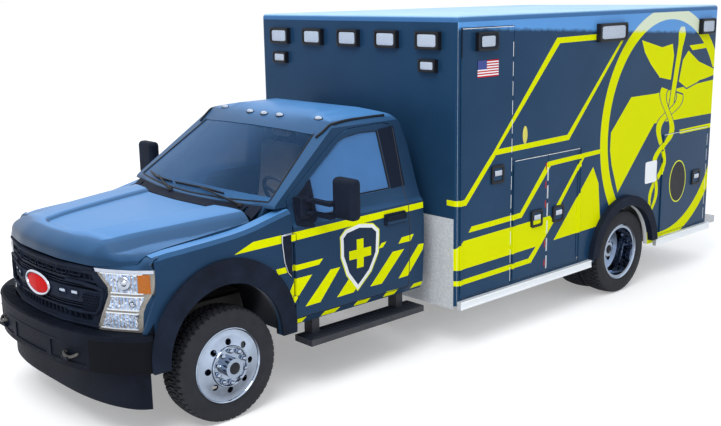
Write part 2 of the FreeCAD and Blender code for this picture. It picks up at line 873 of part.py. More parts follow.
thick = float(d.glass_thickness)
windshield_tilt = math.radians(35)
inward = (0, math.sin(windshield_tilt), -math.cos(windshield_tilt))
glass = sheet_between(cab_outer, [4 * k for k in inward], [(4 + thick) * k for k in inward])
windshield = glass.common(prism("y", (at(300), at(1250)), grown(WINDSHIELD_FRONT, -float(clear))))
rear_window = sheet_between(cab_outer, (0, -8, 0), (0, -8 - thick, 0)).common(
    prism("y", (at(1700), at(2000)), grown(REAR_WINDOW, -float(clear))))
new_panel("cab_glass", Part.makeCompound(windshield.Solids + rear_window.Solids))

# Cab doors: the wall of the cab inside the door outline, with a gap all round.
door_edge = grown(behind_axle(DOOR_OUTLINE), -door_shift)
window_edge = behind_axle(WINDOW_OUTLINE)
door_body = cab_outer.cut(cab_void).common(prism("x", (door_in, reach), door_edge))
door_body = door_body.cut(cuboid((0, bulkhead_out + door_shift), (at(0), at(640 + door_shift)), (0, 1406)))
door_body = door_body.cut(cuboid((0, sill_in + door_shift), (at(0), at(2100)), (0, float(d.cab_floor_top) + 0.1)))
# The rear edge is rebated, so that its inner corner passes the pillar as the door swings.
rear_edge_at = float(at(d.cab_door_rear_at)) - float(d.cab_door_rear_gap)
rebate = cab_solid(0, 0, 15).common(cuboid((0, reach), (rear_edge_at - 8, rear_edge_at + 100), (0, 2000)))
door_body = door_body.cut(rebate)
door_body = door_body.cut(cuboid((0, reach), (rear_edge_at, rear_edge_at + 100), (0, 2000)))
door_body = door_body.cut(prism("x", (0, reach), window_edge))
pane = sheet_between(cab_outer, (-14, 0, 0), (-14 - thick, 0, 0)).common(
    prism("x", (door_in, reach), grown(window_edge, -float(clear))))
hinge_x = float(d.cab_half_width) - 10
hinge_y = float(at(d.cab_door_front_at)) + 10
HINGE_LEVELS = (700, 1150)
HINGE_HEIGHT = 60
handle = cuboid((float(d.cab_half_width) - 8, float(d.cab_half_width) + 22), (at(1480), at(1690)), (1125, 1165))
handle = handle.makeFillet(9, handle.Edges)


# Each hinge is a barrel held on the fender, inside a notch in the door's front edge.
def door_notch(level):
    return cuboid((hinge_x - 16, reach), (hinge_y - 10, hinge_y + 16), (level, level + HINGE_HEIGHT))


def frame_hinge(level):
    low, high = level + float(clear), level + HINGE_HEIGHT - float(clear)
    barrel = Part.makeCylinder(8, high - low, vector(hinge_x, hinge_y, low))
    leaf = cuboid((hinge_x - 7, hinge_x + 7), (hinge_y - 32, hinge_y), (low, high))
    return barrel.fuse(leaf)


for level in HINGE_LEVELS:
    door_body = door_body.cut(door_notch(level))
door_solid = door_body.fuse(handle).removeSplitter()
for name, side in SIDES:
    new_panel(f"cab_door_{name}", door_solid if side > 0 else mirrored(door_solid))
    new_panel(f"cab_door_glass_{name}", pane if side > 0 else mirrored(pane))

# Mirrors: a tall head on two arms from a plate on the door.
plate = cuboid((860, 968), (at(655), at(780)), (1285, 1452)).cut(cab_outer)
plate = sorted(plate.Solids, key=lambda solid: -solid.BoundBox.XMax)[0]
head_in = float(d.mirror_reach - d.mirror_width / 2)
head = cuboid((head_in, d.mirror_reach + d.mirror_width / 2),
              (at(d.mirror_at) - d.mirror_depth / 2, at(d.mirror_at) + d.mirror_depth / 2),
              (d.mirror_level - d.mirror_height / 2, d.mirror_level + d.mirror_height / 2))
head = head.makeFillet(36, head.Edges)
arms = [cuboid((940, head_in + 40), (at(735), at(785)), (level, level + 26)) for level in (1322, 1412)]
mirror_solid = plate.fuse(arms[0].cut(cab_outer)).fuse(arms[1].cut(cab_outer)).fuse(head).removeSplitter()
for name, side in SIDES:
    new_panel(f"mirror_{name}", mirror_solid if side > 0 else mirrored(mirror_solid))

# Hood: thin panel lofted across the width, nose bowed in plan, with its hinge arms.

HOOD_PLAN = ((0, -835), (300, -818), (618, -745), (760, -670), (860, -565))
HOOD_LIP = ((0, 1182), (618, 1170), (760, 1185), (860, 1199))
HOOD_FRONT = ((0, 1330), (250, 1331), (430, 1318), (640, 1300), (780, 1272), (860, 1245))
HOOD_REAR = ((0, 1380), (400, 1380), (640, 1378), (760, 1362), (860, 1326))
HOOD_REAR_AT = ((0, 262), (400, 285), (640, 330), (760, 362), (860, 325))
hood_edge = float(d.hood_half_width)
hood_thick = float(d.hood_thickness)


def hood_section(position, sink=0.0):
    off = abs(position)
    nose = float(at(level_at(HOOD_PLAN, off)))
    lip, front = level_at(HOOD_LIP, off), level_at(HOOD_FRONT, off)
    rear, tail = level_at(HOOD_REAR, off), float(at(level_at(HOOD_REAR_AT, off)))
    deep = nose + (front - lip) * 1.5
    middle = (deep + tail) / 2
    outer = [
        (nose, lip), (nose + 14, lip + 0.45 * (front - lip)), (nose + (front - lip) * 0.6, front - 18),
        (deep, front - sink), (middle, (front + rear) / 2 + 4 - sink), (tail, rear - sink),
    ]
    inner = [
        (tail, rear - hood_thick), (middle, (front + rear) / 2 + 4 - hood_thick), (deep + 4, front - hood_thick),
        (nose + (front - lip) * 0.6 + 14, front - 18 - hood_thick), (nose + 14 + hood_thick, lip + 0.4 * (front - lip)),
        (nose + hood_thick, lip),
    ]
    return [vector(position, y, z) for y, z in outer + inner]


HOOD_STATIONS = (-1, -0.86, -0.72, -0.5, -0.25, 0, 0.25, 0.5, 0.72, 0.86, 1)
hood_panel = lofted([hood_section(hood_edge * share) for share in HOOD_STATIONS])

# The centre of the hood is sunk a little between two ridges that spread towards the windshield,
# with a half-depth ledge all round it.
HOOD_VALLEY = (
    (0, -676), (130, -672), (215, -655), (262, -618), (300, -480), (352, -200), (400, 60), (452, 400),
)
hood_sink = float(d.hood_valley_depth)
for ledge, sink in ((26.0, hood_sink / 2), (0.0, hood_sink)):
    side_line = [(x + ledge * (x > 0), y - ledge) for x, y in HOOD_VALLEY]
    valley = prism("z", (1100, 1500), [
        (x, float(at(y))) for x, y in side_line + [(-x, y) for x, y in reversed(side_line[1:])]])
    sunk = lofted([hood_section(hood_edge * share, sink) for share in HOOD_STATIONS])
    hood_panel = hood_panel.cut(valley).fuse(sunk.common(valley))
hood_axis_at, hood_axis_level = 400, 1340
arm_in, arm_out = 690, 710
hood_parts = []
for turn in (False, True):
    arm = prism("x", (arm_in, arm_out), behind_axle((
        (250, 1352), (330, 1352), (hood_axis_at, hood_axis_level + 9), (hood_axis_at, hood_axis_level - 9),
        (330, 1326), (250, 1330))))
    pin = Part.makeCylinder(10, arm_out - arm_in, vector(arm_in, float(at(hood_axis_at)), hood_axis_level),
                            vector(1, 0, 0))
    arm = arm.fuse(pin)
    hood_parts.append(mirrored(arm) if turn else arm)
new_panel("hood", hood_panel.fuse(hood_parts).removeSplitter())

# Cowl: black panel between the hood and the windshield, slotted for the hood arms.
cowl_thick = 8


def cowl_section(position):
    off = abs(position)
    share = (position / float(d.cab_half_width)) ** 2
    front = float(at(level_at(HOOD_REAR_AT, off))) + 14
    front_level = level_at(HOOD_REAR, off) - 16
    back = float(at(d.windshield_base_at)) + float(d.windshield_base_bow) * share - 2
    back_level = float(d.windshield_base_level) + 22 * share - 6
    return [vector(position, front, front_level), vector(position, back, back_level),
            vector(position, back, back_level - cowl_thick), vector(position, front, front_level - cowl_thick)]


COWL_STATIONS = (-815, -740, -619, -430, -215, 0, 215, 430, 619, 740, 815)
cowl = lofted([cowl_section(float(position)) for position in COWL_STATIONS]).cut(cab_outer)
for x0, x1 in ((arm_in - 6, arm_out + 6), (-arm_out - 6, -arm_in + 6)):
    cowl = cowl.cut(cuboid((x0, x1), (at(300), at(420)), (1200, 1500)))
cowl = sorted(cowl.Solids, key=lambda solid: -solid.Volume)[0]
new_panel("cowl_panel", cowl)

# The hood pins turn between the cheeks of two pockets in the cab's cowl.
shell = parts[[part.Label for part in parts].index("cab_shell")]
pocketed = shell.Shape
for x0, x1 in ((arm_in - float(clear), arm_out + float(clear)), (-arm_out - float(clear), -arm_in + float(clear))):
    pocketed = pocketed.cut(cuboid((x0, x1), (at(300), at(hood_axis_at + 16)), (1290, 1450)))
shell.Shape = pocketed

# Front fenders: side panel with rolled top, cut for the wheel, with the liner behind it.

FENDER_TOP = (
    (-600, 1190), (-550, 1222), (-505, 1244), (-400, 1259), (-249, 1269), (-100, 1277), (81, 1289), (200, 1303),
    (305, 1322), (400, 1345), (500, 1368), (583, 1385),
)
FENDER_TAPER = ((-600, -47), (-550, -34), (-505, -24), (-450, -15), (-400, -9), (-350, -4), (-300, 0), (600, 0))


def fender_section(distance):
    top = level_at(FENDER_TOP, distance)
    out = float(d.fender_side) + level_at(FENDER_TAPER, distance)
    skin = float(d.fender_skin)
    inner_edge = hood_edge + float(d.door_gap)
    bottom = float(d.fender_bottom)
    points = [
        (inner_edge, top), (out - 40, top - 6), (out - 12, top - 30), (out, top - 85), (out, bottom),
        (out - skin, bottom), (out - skin, top - 88), (out - skin - 10, top - 44), (out - 48, top - 28),
        (inner_edge, top - skin),
    ]
    return [vector(x, float(at(distance)), z) for x, z in points]


arch_y, arch_z, arch_r = float(front_axle), float(d.arch_level), float(d.arch_radius)


def drum(radius, x0, x1, y=arch_y, z=arch_z):
    return Part.makeCylinder(radius, x1 - x0, vector(x0, y, z), vector(1, 0, 0))


FENDER_STATIONS = (-600, -550, -505, -450, -400, -350, -300, -200, -100, 0, 100, 200, 300, 400, 500, 583)
fender = Part.makeLoft([wire_of(fender_section(distance)) for distance in FENDER_STATIONS], True, True)
fender = fender.cut(drum(arch_r, 700, 1100))
fender = fender.cut(cuboid((700, 1100), (arch_y - arch_r, arch_y + arch_r), (400, arch_z)))
fender = fender.cut(prism("x", (800, 1100), behind_axle((
    (-700, 1400), (-505, 1400), (-505, 1010), (-598, 765), (-598, 752), (-545, 752), (-545, 400), (-700, 400)))))
liner = drum(arch_r + 77, 452, 940).cut(drum(arch_r + 62, 440, 980))
liner = liner.cut(cuboid((400, 1000), (arch_y - 700, arch_y + 700), (-300, d.fender_bottom)))
liner_web = cuboid((930, 964), (arch_y - arch_r - 77, arch_y + arch_r + 77), (d.fender_bottom, arch_z + arch_r + 77))
liner_web = liner_web.cut(drum(arch_r, 700, 1100)).cut(
    cuboid((700, 1100), (arch_y - arch_r, arch_y + arch_r), (400, arch_z))).common(drum(arch_r + 77, 700, 1100))
flange = cuboid((835 + float(clear), 970), (at(560), at(583)), (d.cab_floor_bottom, 1240))
fender = fender.fuse([liner, liner_web, flange] + [frame_hinge(level) for level in HINGE_LEVELS]).removeSplitter()
new_panel("front_fenders", Part.makeCompound(fender.Solids + mirrored(fender).Solids))

# Wheel-arch flares, front and rear.

flares = new_body("wheel_flares")
front_flare = (d.fender_side, d.fender_side + d.flare_proud)
rear_flare = (half, half + d.rear_flare_proud)
for name, side in SIDES:
    slab(flares, "x", ordered(front_flare, side), [circle(front_axle, d.front_flare_level, d.front_flare_radius)])
    slab(flares, "x", ordered(rear_flare, side), [circle(rear_axle, d.tyre_radius, d.rear_flare_radius)])
for name, side in SIDES:
    slab(flares, "x", ordered(front_flare, side), [circle(front_axle, d.arch_level, d.arch_radius)], remove=True)
    slab(flares, "x", ordered(rear_flare, side), [circle(rear_axle, d.tyre_radius, d.rear_arch_radius)], remove=True)
    block(flares, front_flare, (front_axle - 700, front_axle + 700), (-300, d.fender_bottom), side, remove=True)
    block(flares, front_flare, (front_axle - d.arch_radius, front_axle + d.arch_radius),
          (0, d.arch_level), side, remove=True)
    block(flares, rear_flare, (rear_axle - 700, rear_axle + 700), (-300, d.module_bottom + 45), side, remove=True)

# Front bumper, air dam and tow hooks follow one plan curve.

BUMPER_PLAN = ((0, -940), (320, -924), (649, -848), (800, -768), (910, -676), (960, -612), (980, -562))
DAM_PLAN = ((0, -800), (400, -790), (640, -752), (800, -700), (910, -632), (950, -575))


def plan_band(plan, wall, low, high):
    right = [vector(-x, float(at(y)), low) for x, y in reversed(plan[1:])]
    left = [vector(x, float(at(y)), low) for x, y in plan]
    outer = Part.BSplineCurve()
    outer.interpolate(right + left)
    ends = right + left
    scale_x = 1 - wall / plan[-1][0]
    inner_points = [vector(p.x * scale_x, p.y + wall * (1 - abs(p.x) / plan[-1][0]), low) for p in ends]
    inner = Part.BSplineCurve()
    inner.interpolate(inner_points)
    edges = [outer.toShape(), Part.makeLine(ends[-1], inner_points[-1]), inner.toShape(),
             Part.makeLine(inner_points[0], ends[0])]
    face = Part.Face(Part.Wire(Part.__sortEdges__(edges)))
    return face.extrude(vector(0, 0, high - low))


bumper_top = float(d.grille_bottom - clear)
band = plan_band(BUMPER_PLAN, float(d.bumper_wall), float(d.bumper_bottom), bumper_top)
face_skin = plan_band(BUMPER_PLAN, float(d.bumper_pocket_depth), 540, 652)
for x0, x1 in ((-232, 232), (286, 626), (-626, -286)):
    band = band.cut(face_skin.common(cuboid((x0, x1), (at(-1000), at(-600)), (500, 700))))
shelf = plan_band(BUMPER_PLAN, 190.0, bumper_top - 12, bumper_top)
dam = plan_band(DAM_PLAN, float(d.air_dam_wall), float(d.air_dam_bottom), float(d.bumper_bottom))
hooks = []
for x in (-475, 475):
    hook = cuboid((x - 45, x + 45), (at(-930), at(-860)), (560, 584))
    eye = Part.makeCylinder(14, 40, vector(x, float(at(-908)), 550))
    hooks.append(hook.cut(eye))
stays = []
for x0, x1 in ((rail_inner, d.rail_half_width), (-d.rail_half_width, -rail_inner)):
    stays.append(cuboid((x0, x1), (at(-875), at(d.rail_front_at)), (rail_front_bottom, d.rail_front_top)))
bumper = band.fuse([shelf, dam] + hooks + stays).removeSplitter()
new_panel("front_bumper", bumper)

# Grille: curved surround, two bars and a mesh backing between the headlights.

GRILLE_PLAN = ((0, -842), (300, -825), (618, -738), (720, -690), (860, -600), (960, -500))
grille_low, grille_high = float(d.grille_bottom), float(d.grille_top)
GRILLE_FRONT = (
    (-600, grille_low), (600, grille_low), (632, 850), (690, 990), (690, 1040), (630, 1120), (612, grille_high),
    (-612, grille_high), (-630, 1120), (-690, 1040), (-690, 990), (-632, 850),
)


def plan_loft(plan, limit, front, depth, low, high, count=8):
    sections = []
    for k in range(-count, count + 1):
        x = limit * k / count
        y = float(at(level_at(plan, abs(x)))) + front
        sections.append([vector(x, y, low), vector(x, y + depth, low), vector(x, y + depth, high), vector(x, y, high)])
    return Part.makeLoft([wire_of(points) for points in sections], True, True)


grille_zone = prism("y", (at(-1000), at(0)), GRILLE_FRONT)
surround = plan_loft(GRILLE_PLAN, 700.0, 0.0, 46.0, grille_low, grille_high).common(grille_zone)
window = prism("y", (at(-1000), at(0)), grown(GRILLE_FRONT, -48))
bars = plan_loft(GRILLE_PLAN, 700.0, -6.0, 52.0, 912, 1006).common(grille_zone)
backing = plan_loft(GRILLE_PLAN, 700.0, 26.0, 10.0, grille_low, grille_high).common(grille_zone)
lower_bar = plan_loft(GRILLE_PLAN, 700.0, 4.0, 30.0, 846, 862).common(grille_zone)
upper_bar = plan_loft(GRILLE_PLAN, 700.0, 4.0, 30.0, 1056, 1072).common(grille_zone)
ribs = []
rib_count = round(float(d.grille_ribs))
for k in range(-rib_count, rib_count + 1):
    x = 560.0 * k / rib_count
    y = float(at(level_at(GRILLE_PLAN, abs(x))))
    ribs.append(cuboid((x - 4, x + 4), (y + 8, y + 32), (1066, 1120)))
    ribs.append(cuboid((x - 4, x + 4), (y + 8, y + 32), (790, 852)))
grille = surround.cut(window).fuse([bars, backing, lower_bar, upper_bar] + ribs).removeSplitter()
new_panel("grille", grille)

# Headlights: C-shaped blocks round the ends of the grille.

HEADLIGHT_FRONT = (
    (618, 1164), (954, 1164), (957, 1020), (928, 765), (925, grille_low), (606, grille_low), (638, 848),
    (696, 988), (696, 1042), (636, 1122),
)
lamp = plan_loft(GRILLE_PLAN, 960.0, 4.0, float(d.headlight_depth), grille_low, 1164)
lamp = lamp.common(prism("y", (at(-1000), at(-511)), HEADLIGHT_FRONT))
lamp = lamp.common(prism("x", (600, 1000), behind_axle((
    (-1000, grille_low), (-612, grille_low), (-606, 765), (-512, 1012), (-512, 1170), (-1000, 1170)))))
new_panel("headlights", Part.makeCompound(lamp.Solids + mirrored(lamp).Solids))

# Running boards hang from the sills.

boards = new_body("running_boards")
board_span = (d.board_outer - d.board_width, d.board_outer)
for name, side in SIDES:
    block(boards, board_span, (at(d.board_front_at), at(d.board_rear_at)),
          (d.board_top - d.board_thickness, d.board_top), side)
    for station in (at(780), at(1640)):
        block(boards, (board_span[0], board_span[0] + 90), (station, station + 70), (d.board_top, d.sill_bottom), side)

# Dashboard with the steering wheel on its column.

dash_front = float(at(640)) + float(clear)
dash = prism("x", (-860, 860), [
    (dash_front, 960), (float(at(860)), 930), (float(at(885)), 1090), (float(at(800)), 1285), (float(at(660)), 1330),
    (dash_front, 1310)])
wheel_centre = vector(float(d.seat_offset), float(at(940)), 1340)
wheel_axis = vector(0, math.cos(math.radians(28)), math.sin(math.radians(28)))
steering = Part.makeTorus(float(d.steering_wheel_radius), 15, wheel_centre, wheel_axis)
hub = Part.makeCylinder(55, 30, wheel_centre - wheel_axis * 20, wheel_axis)
column = Part.makeCylinder(30, 190, wheel_centre - wheel_axis * 200, wheel_axis)
spokes = []
for angle in (90, 210, 330):
    arm = Part.makeBox(float(d.steering_wheel_radius), 34, 12, vector(0, -17, -10))
    arm.rotate(vector(0, 0, 0), vector(0, 0, 1), angle)
    arm.rotate(vector(0, 0, 0), vector(1, 0, 0), -62)
    arm.translate(wheel_centre)
    spokes.append(arm)
dash_solid = dash.fuse([steering, hub, column] + spokes)
new_panel("dashboard", dash_solid.removeSplitter())

# Seats: pedestals, and for each seat a cushion, a back and a headrest.

pedestals = new_body("seat_bases")
seat_front, seat_rear = at(d.seat_at) - 230, at(d.seat_at) + 250
cushion_bottom = d.cushion_top - d.cushion_thickness
for name, side in SIDES:
    block(pedestals, (d.seat_offset - 180, d.seat_offset + 180), (seat_front + 40, seat_rear),
          (d.cab_floor_top, cushion_bottom), side)
for name, side in SIDES:
    seat = new_body(f"seat_{name}")
    span = (d.seat_offset - d.seat_width / 2, d.seat_offset + d.seat_width / 2)
    block(seat, span, (seat_front, seat_rear), (cushion_bottom, d.cushion_top), side)
    round_edges(seat, 35, lambda edge: runs_along(edge, "x"))
    lean = [
        (seat_rear - 12, cushion_bottom + 20), (seat_rear + 120, cushion_bottom + 20),
        (seat_rear + 190, d.back_top), (seat_rear + 90, d.back_top),
    ]
    slab(seat, "x", ordered(span, side), [lean])
    head = [
        (seat_rear + 95, d.back_top - 8), (seat_rear + 184, d.back_top - 8),
        (seat_rear + 196, d.back_top + 170), (seat_rear + 106, d.back_top + 170),
    ]
    slab(seat, "x", ordered((d.seat_offset - 130, d.seat_offset + 130), side), [head])

# Module shell: two side walls, end walls, roof and floor round one open compartment.

def along_module(start, width):
    return (module_front + start, module_front + start + width)


front_bay = along_module(d.side_door_start, d.front_door_width)
mid_bay = along_module(d.mid_door_start, d.mid_door_width)
rear_bay = along_module(d.rear_side_door_start, d.rear_side_door_width)
entry_bay = along_module(d.entry_start, d.entry_width)
front_door = (front_bay, (d.front_door_bottom, d.front_door_top))
mid_door = (mid_bay, (d.mid_door_bottom, d.mid_door_top))
left_rear_door = (rear_bay, (d.rear_side_door_bottom, d.rear_side_door_top))
right_rear_door = (rear_bay, (d.rear_side_door_bottom, d.right_rear_door_top))
entry_door = (entry_bay, (d.entry_bottom, d.entry_top))
SIDE_OPENINGS = {
    "left": (front_door, mid_door, left_rear_door),
    "right": (front_door, entry_door, right_rear_door),
}
wall_start, wall_end = module_front + d.module_wall, module_rear - d.module_wall


def near(value, target):
    return abs(value - float(target)) < 0.5


def outer_corner(edge):
    first = edge.Vertexes[0].Point
    at_end = near(first.y, module_front) or near(first.y, module_rear)
    return runs_along(edge, "z") and near(abs(first.x), half) and at_end


for name, side in SIDES:
    wall = new_body(f"module_{name}_wall")
    span = ordered((inner_half, half), side)
    slab(wall, "x", span, [rectangle((module_front, module_rear), (d.module_bottom, roof_bottom))])
    slab(wall, "x", span, [rectangle(*opening) for opening in SIDE_OPENINGS[name]], remove=True)
    rod_along(wall, "x", span, rear_axle, d.tyre_radius, d.rear_arch_radius, remove=True)
    round_edges(wall, d.module_corner, outer_corner)

ends = new_body("module_end_walls")
across = (-inner_half, inner_half)
frame_room = d.locker_inner - 98
block(ends, across, (module_front, wall_start), (d.module_bottom, roof_bottom))
block(ends, across, (wall_end, module_rear), (d.module_bottom, roof_bottom))
block(ends, (-frame_room, frame_room), (module_front, wall_start), (d.module_bottom, floor_bottom), remove=True)
rear_frame = (-d.rear_opening_half_width, d.rear_opening_half_width)
block(ends, rear_frame, (wall_end, module_rear), (d.module_floor_top, d.rear_opening_top), remove=True)

roof = new_body("module_roof")
block(roof, (-half, half), (module_front, module_rear), (roof_bottom, d.module_top))


def roof_edge(edge):
    first, second = edge.Vertexes[0].Point, edge.Vertexes[1].Point
    top = near(first.z, d.module_top) and near(second.z, d.module_top)
    return top or runs_along(edge, "z")


round_edges(roof, d.module_corner, roof_edge)

floor = new_body("module_floor")
wheel_box = (rear_axle - d.wheel_box_half_length, rear_axle + d.wheel_box_half_length)
floor_levels = (floor_bottom, d.module_floor_top)
block(floor, (-d.locker_inner, d.locker_inner), (wall_start, wall_end), floor_levels)
block(floor, (-inner_half, inner_half), wheel_box, floor_levels)

# Side lockers: liner wall, cross bulkheads and shelves, open to the outside at the doors.

liner_span = (d.locker_inner, d.locker_inner + d.locker_wall)
bay_span = (liner_span[1] - 8, inner_half)
plate = d.locker_wall
bottom_level = (d.module_bottom, d.module_bottom + plate)
wheel_front, wheel_back = wheel_box
first_wall = (front_bay[1], mid_bay[0])
for name, side in SIDES:
    lockers = new_body(f"lockers_{name}")
    top = d.locker_top if side > 0 else d.bench_top
    open_end = mid_bay[1] + plate if side > 0 else entry_bay[1] + 45
    block(lockers, liner_span, (wall_start, first_wall[1]), (d.module_bottom, roof_bottom), side)
    block(lockers, bay_span, first_wall, (d.module_bottom, roof_bottom), side)
    block(lockers, bay_span, (wall_start, wheel_front), bottom_level, side)
    block(lockers, bay_span, (wheel_back, wall_end), bottom_level, side)
    block(lockers, bay_span, (open_end - plate, open_end), (d.module_bottom, top), side)
    block(lockers, bay_span, (wheel_front - plate, wheel_front), (d.module_bottom, top), side)
    block(lockers, bay_span, (wheel_back, wheel_back + plate), (d.module_bottom, top), side)
    if side > 0:
        block(lockers, liner_span, (wheel_back, wall_end), (d.module_bottom, top), side)
        block(lockers, liner_span, (first_wall[1], wheel_front), (d.module_bottom, top), side)
        block(lockers, bay_span, (first_wall[1], wheel_front), (top - plate, top), side)
        block(lockers, bay_span, (wheel_back, wall_end), (top - plate, top), side)
    else:
        bench_front = [
            (first_wall[1], d.module_bottom), (wheel_front, d.module_bottom), (wheel_front, d.module_floor_top),
            (wheel_back, d.module_floor_top), (wheel_back, d.module_bottom), (wall_end, d.module_bottom),
            (wall_end, top), (open_end, top), (open_end, d.module_floor_top), (first_wall[1], d.module_floor_top),
        ]
        slab(lockers, "x", ordered(liner_span, side), [bench_front])
        block(lockers, bay_span, (open_end, wall_end), (top - plate, top), side)
        step = (liner_span[1] - 8, liner_span[1] + 240)
        block(lockers, step, (first_wall[1] - 8, open_end - plate + 8), (bottom_level[1] - 8, 655), side)

# Patient compartment: padded bench on the right, overhead cabinets on the left.

bench = new_body("patient_bench")
bench_span = (liner_span[0], inner_half - 70)
bench_ends = (module_front + 1900, wall_end - 150)
block(bench, bench_span, bench_ends, (d.bench_top, d.bench_top + d.bench_pad), -1)
round_edges(bench, 25, lambda edge: runs_along(edge, "y"))
block(bench, (inner_half - 65, inner_half - clear), bench_ends, (d.bench_top + 5, d.bench_top + 500), -1)

cabinets = new_body("patient_cabinets")
cabinet_span = (d.locker_inner + 150, inner_half)
block(cabinets, cabinet_span, (first_wall[1], module_front + 2850), (1720, 2360), 1)
block(cabinets, (cabinet_span[0] - 1, cabinet_span[1] - 40), (first_wall[1] + 40, module_front + 2810),
      (1760, 2320), 1, remove=True)
for start in (640, 1290):
    block(cabinets, (cabinet_span[0], inner_half), (first_wall[1] + start, first_wall[1] + start + 20),
          (1740, 2340), 1)

# Module doors: flush panels on outside hinges, with a recessed-look black latch.

hinge_line = half + d.hinge_proud


def hinge_barrel(body, normal_span, x, y):
    rod_along(body, "z", normal_span, x, y, d.hinge_radius)


def side_door(label, side, bay, levels, hinge_front, latch, glass=None):
    gap = d.door_gap
    pan = gap + d.door_pan_inset
    panel = new_body(label)
    skin = (half - d.door_skin, half)
    deep = (half - d.module_door_thickness, half - d.door_skin + 1)
    ys, zs = (bay[0] + gap, bay[1] - gap), (levels[0] + gap, levels[1] - gap)
    slab(panel, "x", ordered(skin, side), [rectangle(ys, zs)])
    slab(panel, "x", ordered(deep, side),
         [rectangle((bay[0] + pan, bay[1] - pan), (levels[0] + pan, levels[1] - pan))])
    if glass:
        slab(panel, "x", ordered((deep[0], half), side), [rectangle(*glass)], remove=True)
    edge, into = (bay[0], 1) if hinge_front else (bay[1], -1)
    leaf = ordered((edge + 2 * into, edge + 34 * into)) if into > 0 else (edge - 34, edge - 2)
    middle = (levels[0] + d.hinge_end, levels[1] - d.hinge_end)
    notch = (edge, edge + 16) if into > 0 else (edge - 16, edge)
    for low, high in ((levels[0], middle[0] + 3), (middle[1] - 3, levels[1])):
        block(panel, (half - 60, half + 1), notch, (low, high), side, remove=True)
    block(panel, (half - 1, half + 5), leaf, middle, side)
    hinge_barrel(panel, middle, side * hinge_line, edge)
    y, z = latch
    size = d.latch_size / 2
    block(panel, (half - 1, half + d.latch_proud), (y - size, y + size), (z - size, z + size), side)
    fixed = parts[[part.Label for part in parts].index("module_left_wall" if side > 0 else "module_right_wall")]
    back = (edge - 16, edge - 8) if into > 0 else (edge + 8, edge + 16)
    reach_out = (edge - 16, edge) if into > 0 else (edge, edge + 16)
    for low, high in ((levels[0], middle[0] - clear), (middle[1] + clear, levels[1])):
        hinge_barrel(fixed, (low, high), side * hinge_line, edge)
        block(fixed, (half, half + 5), reach_out, (low, high), side)
        block(fixed, (half - 1, half + 5), back, (low, high), side)
    return panel


def door_pane(label, side, glass):
    pane = new_body(label)
    ys = (glass[0][0] + clear, glass[0][1] - clear)
    zs = (glass[1][0] + clear, glass[1][1] - clear)
    slab(pane, "x", ordered((half - 20, half - 12), side), [rectangle(ys, zs)])


left_front = side_door("front_locker_door_left", 1, *front_door, True, (module_front + 482, 1398))
middle_split = mid_bay[0] + d.mid_door_width / 2
half_gap = d.door_gap / 2
side_door("mid_locker_door_front", 1, (mid_bay[0], middle_split + half_gap), mid_door[1], True,
          (module_front + 1005, 948))
side_door("mid_locker_door_rear", 1, (middle_split - half_gap, mid_bay[1]), mid_door[1], False,
          (module_front + 1307, 942))
side_door("rear_locker_door_left", 1, *left_rear_door, True, (module_front + 3633, 946))
right_front = side_door("front_locker_door_right", -1, *front_door, True, (module_front + 482, 1398))
for tall_door, side in ((left_front, 1), (right_front, -1)):
    block(tall_door, (half, half + d.light_proud), (module_front + 195, module_front + 437), (2393, 2534), side)
side_door("rear_locker_door_right", -1, *right_rear_door, True, (module_front + 3633, 900))
entry_middle = (entry_bay[0] + entry_bay[1]) / 2
entry_glass = ((entry_middle - d.side_window_width / 2, entry_middle + d.side_window_width / 2),
               (d.side_window_bottom, d.side_window_top))
side_door("entry_door", -1, *entry_door, True, (entry_bay[1] - 140, 1300), entry_glass)
door_pane("entry_door_glass", -1, entry_glass)

rear_levels = (d.module_floor_top, d.rear_opening_top)
rear_hinge = module_rear + d.hinge_proud
for name, side in SIDES:
    leaf_door = new_body(f"rear_door_{name}")
    pan = d.door_pan_inset
    xs = (half_gap, d.rear_opening_half_width - d.door_gap)
    ys = (module_rear - d.module_door_thickness, module_rear)
    zs = (rear_levels[0] + d.door_gap, rear_levels[1] - d.door_gap)
    block(leaf_door, xs, (module_rear - d.door_skin, module_rear), zs, side)
    block(leaf_door, (xs[0] + pan, xs[1] - pan), (ys[0], module_rear - d.door_skin + 1),
          (zs[0] + pan, zs[1] - pan), side)
    pane_middle = d.rear_opening_half_width / 2
    pane_xs = (pane_middle - d.rear_window_width / 2, pane_middle + d.rear_window_width / 2)
    block(leaf_door, pane_xs, ys, (d.rear_window_bottom, d.rear_window_top), side, remove=True)
    middle = (rear_levels[0] + d.hinge_end, rear_levels[1] - d.hinge_end)
    edge = d.rear_opening_half_width
    for low, high in ((rear_levels[0], middle[0] + 3), (middle[1] - 3, rear_levels[1])):
        block(leaf_door, (edge - 16, edge), (ys[0] - 10, module_rear + 1), (low, high), side, remove=True)
    block(leaf_door, (edge - 34, edge - 2), (module_rear - 1, module_rear + 5), middle, side)
    hinge_barrel(leaf_door, middle, side * edge, rear_hinge)
    block(leaf_door, (70, 70 + d.latch_size), (module_rear - 1, module_rear + d.latch_proud), (1280, 1280 + d.latch_size), side)
    for low, high in ((rear_levels[0], middle[0] - clear), (middle[1] + clear, rear_levels[1])):
        hinge_barrel(ends, (low, high), side * edge, rear_hinge)
        block(ends, (edge, edge + 34), (module_rear, module_rear + 5), (low, high), side)
        block(ends, (edge + 8, edge + 34), (module_rear - 1, module_rear + 5), (low, high), side)
    pane = new_body(f"rear_door_glass_{name}")
    block(pane, (pane_xs[0] + clear, pane_xs[1] - clear), (module_rear - 20, module_rear - 12),
          (d.rear_window_bottom + clear, d.rear_window_top - clear), side)

# Outside trim: rear step, rub rails, stone guards and lights.

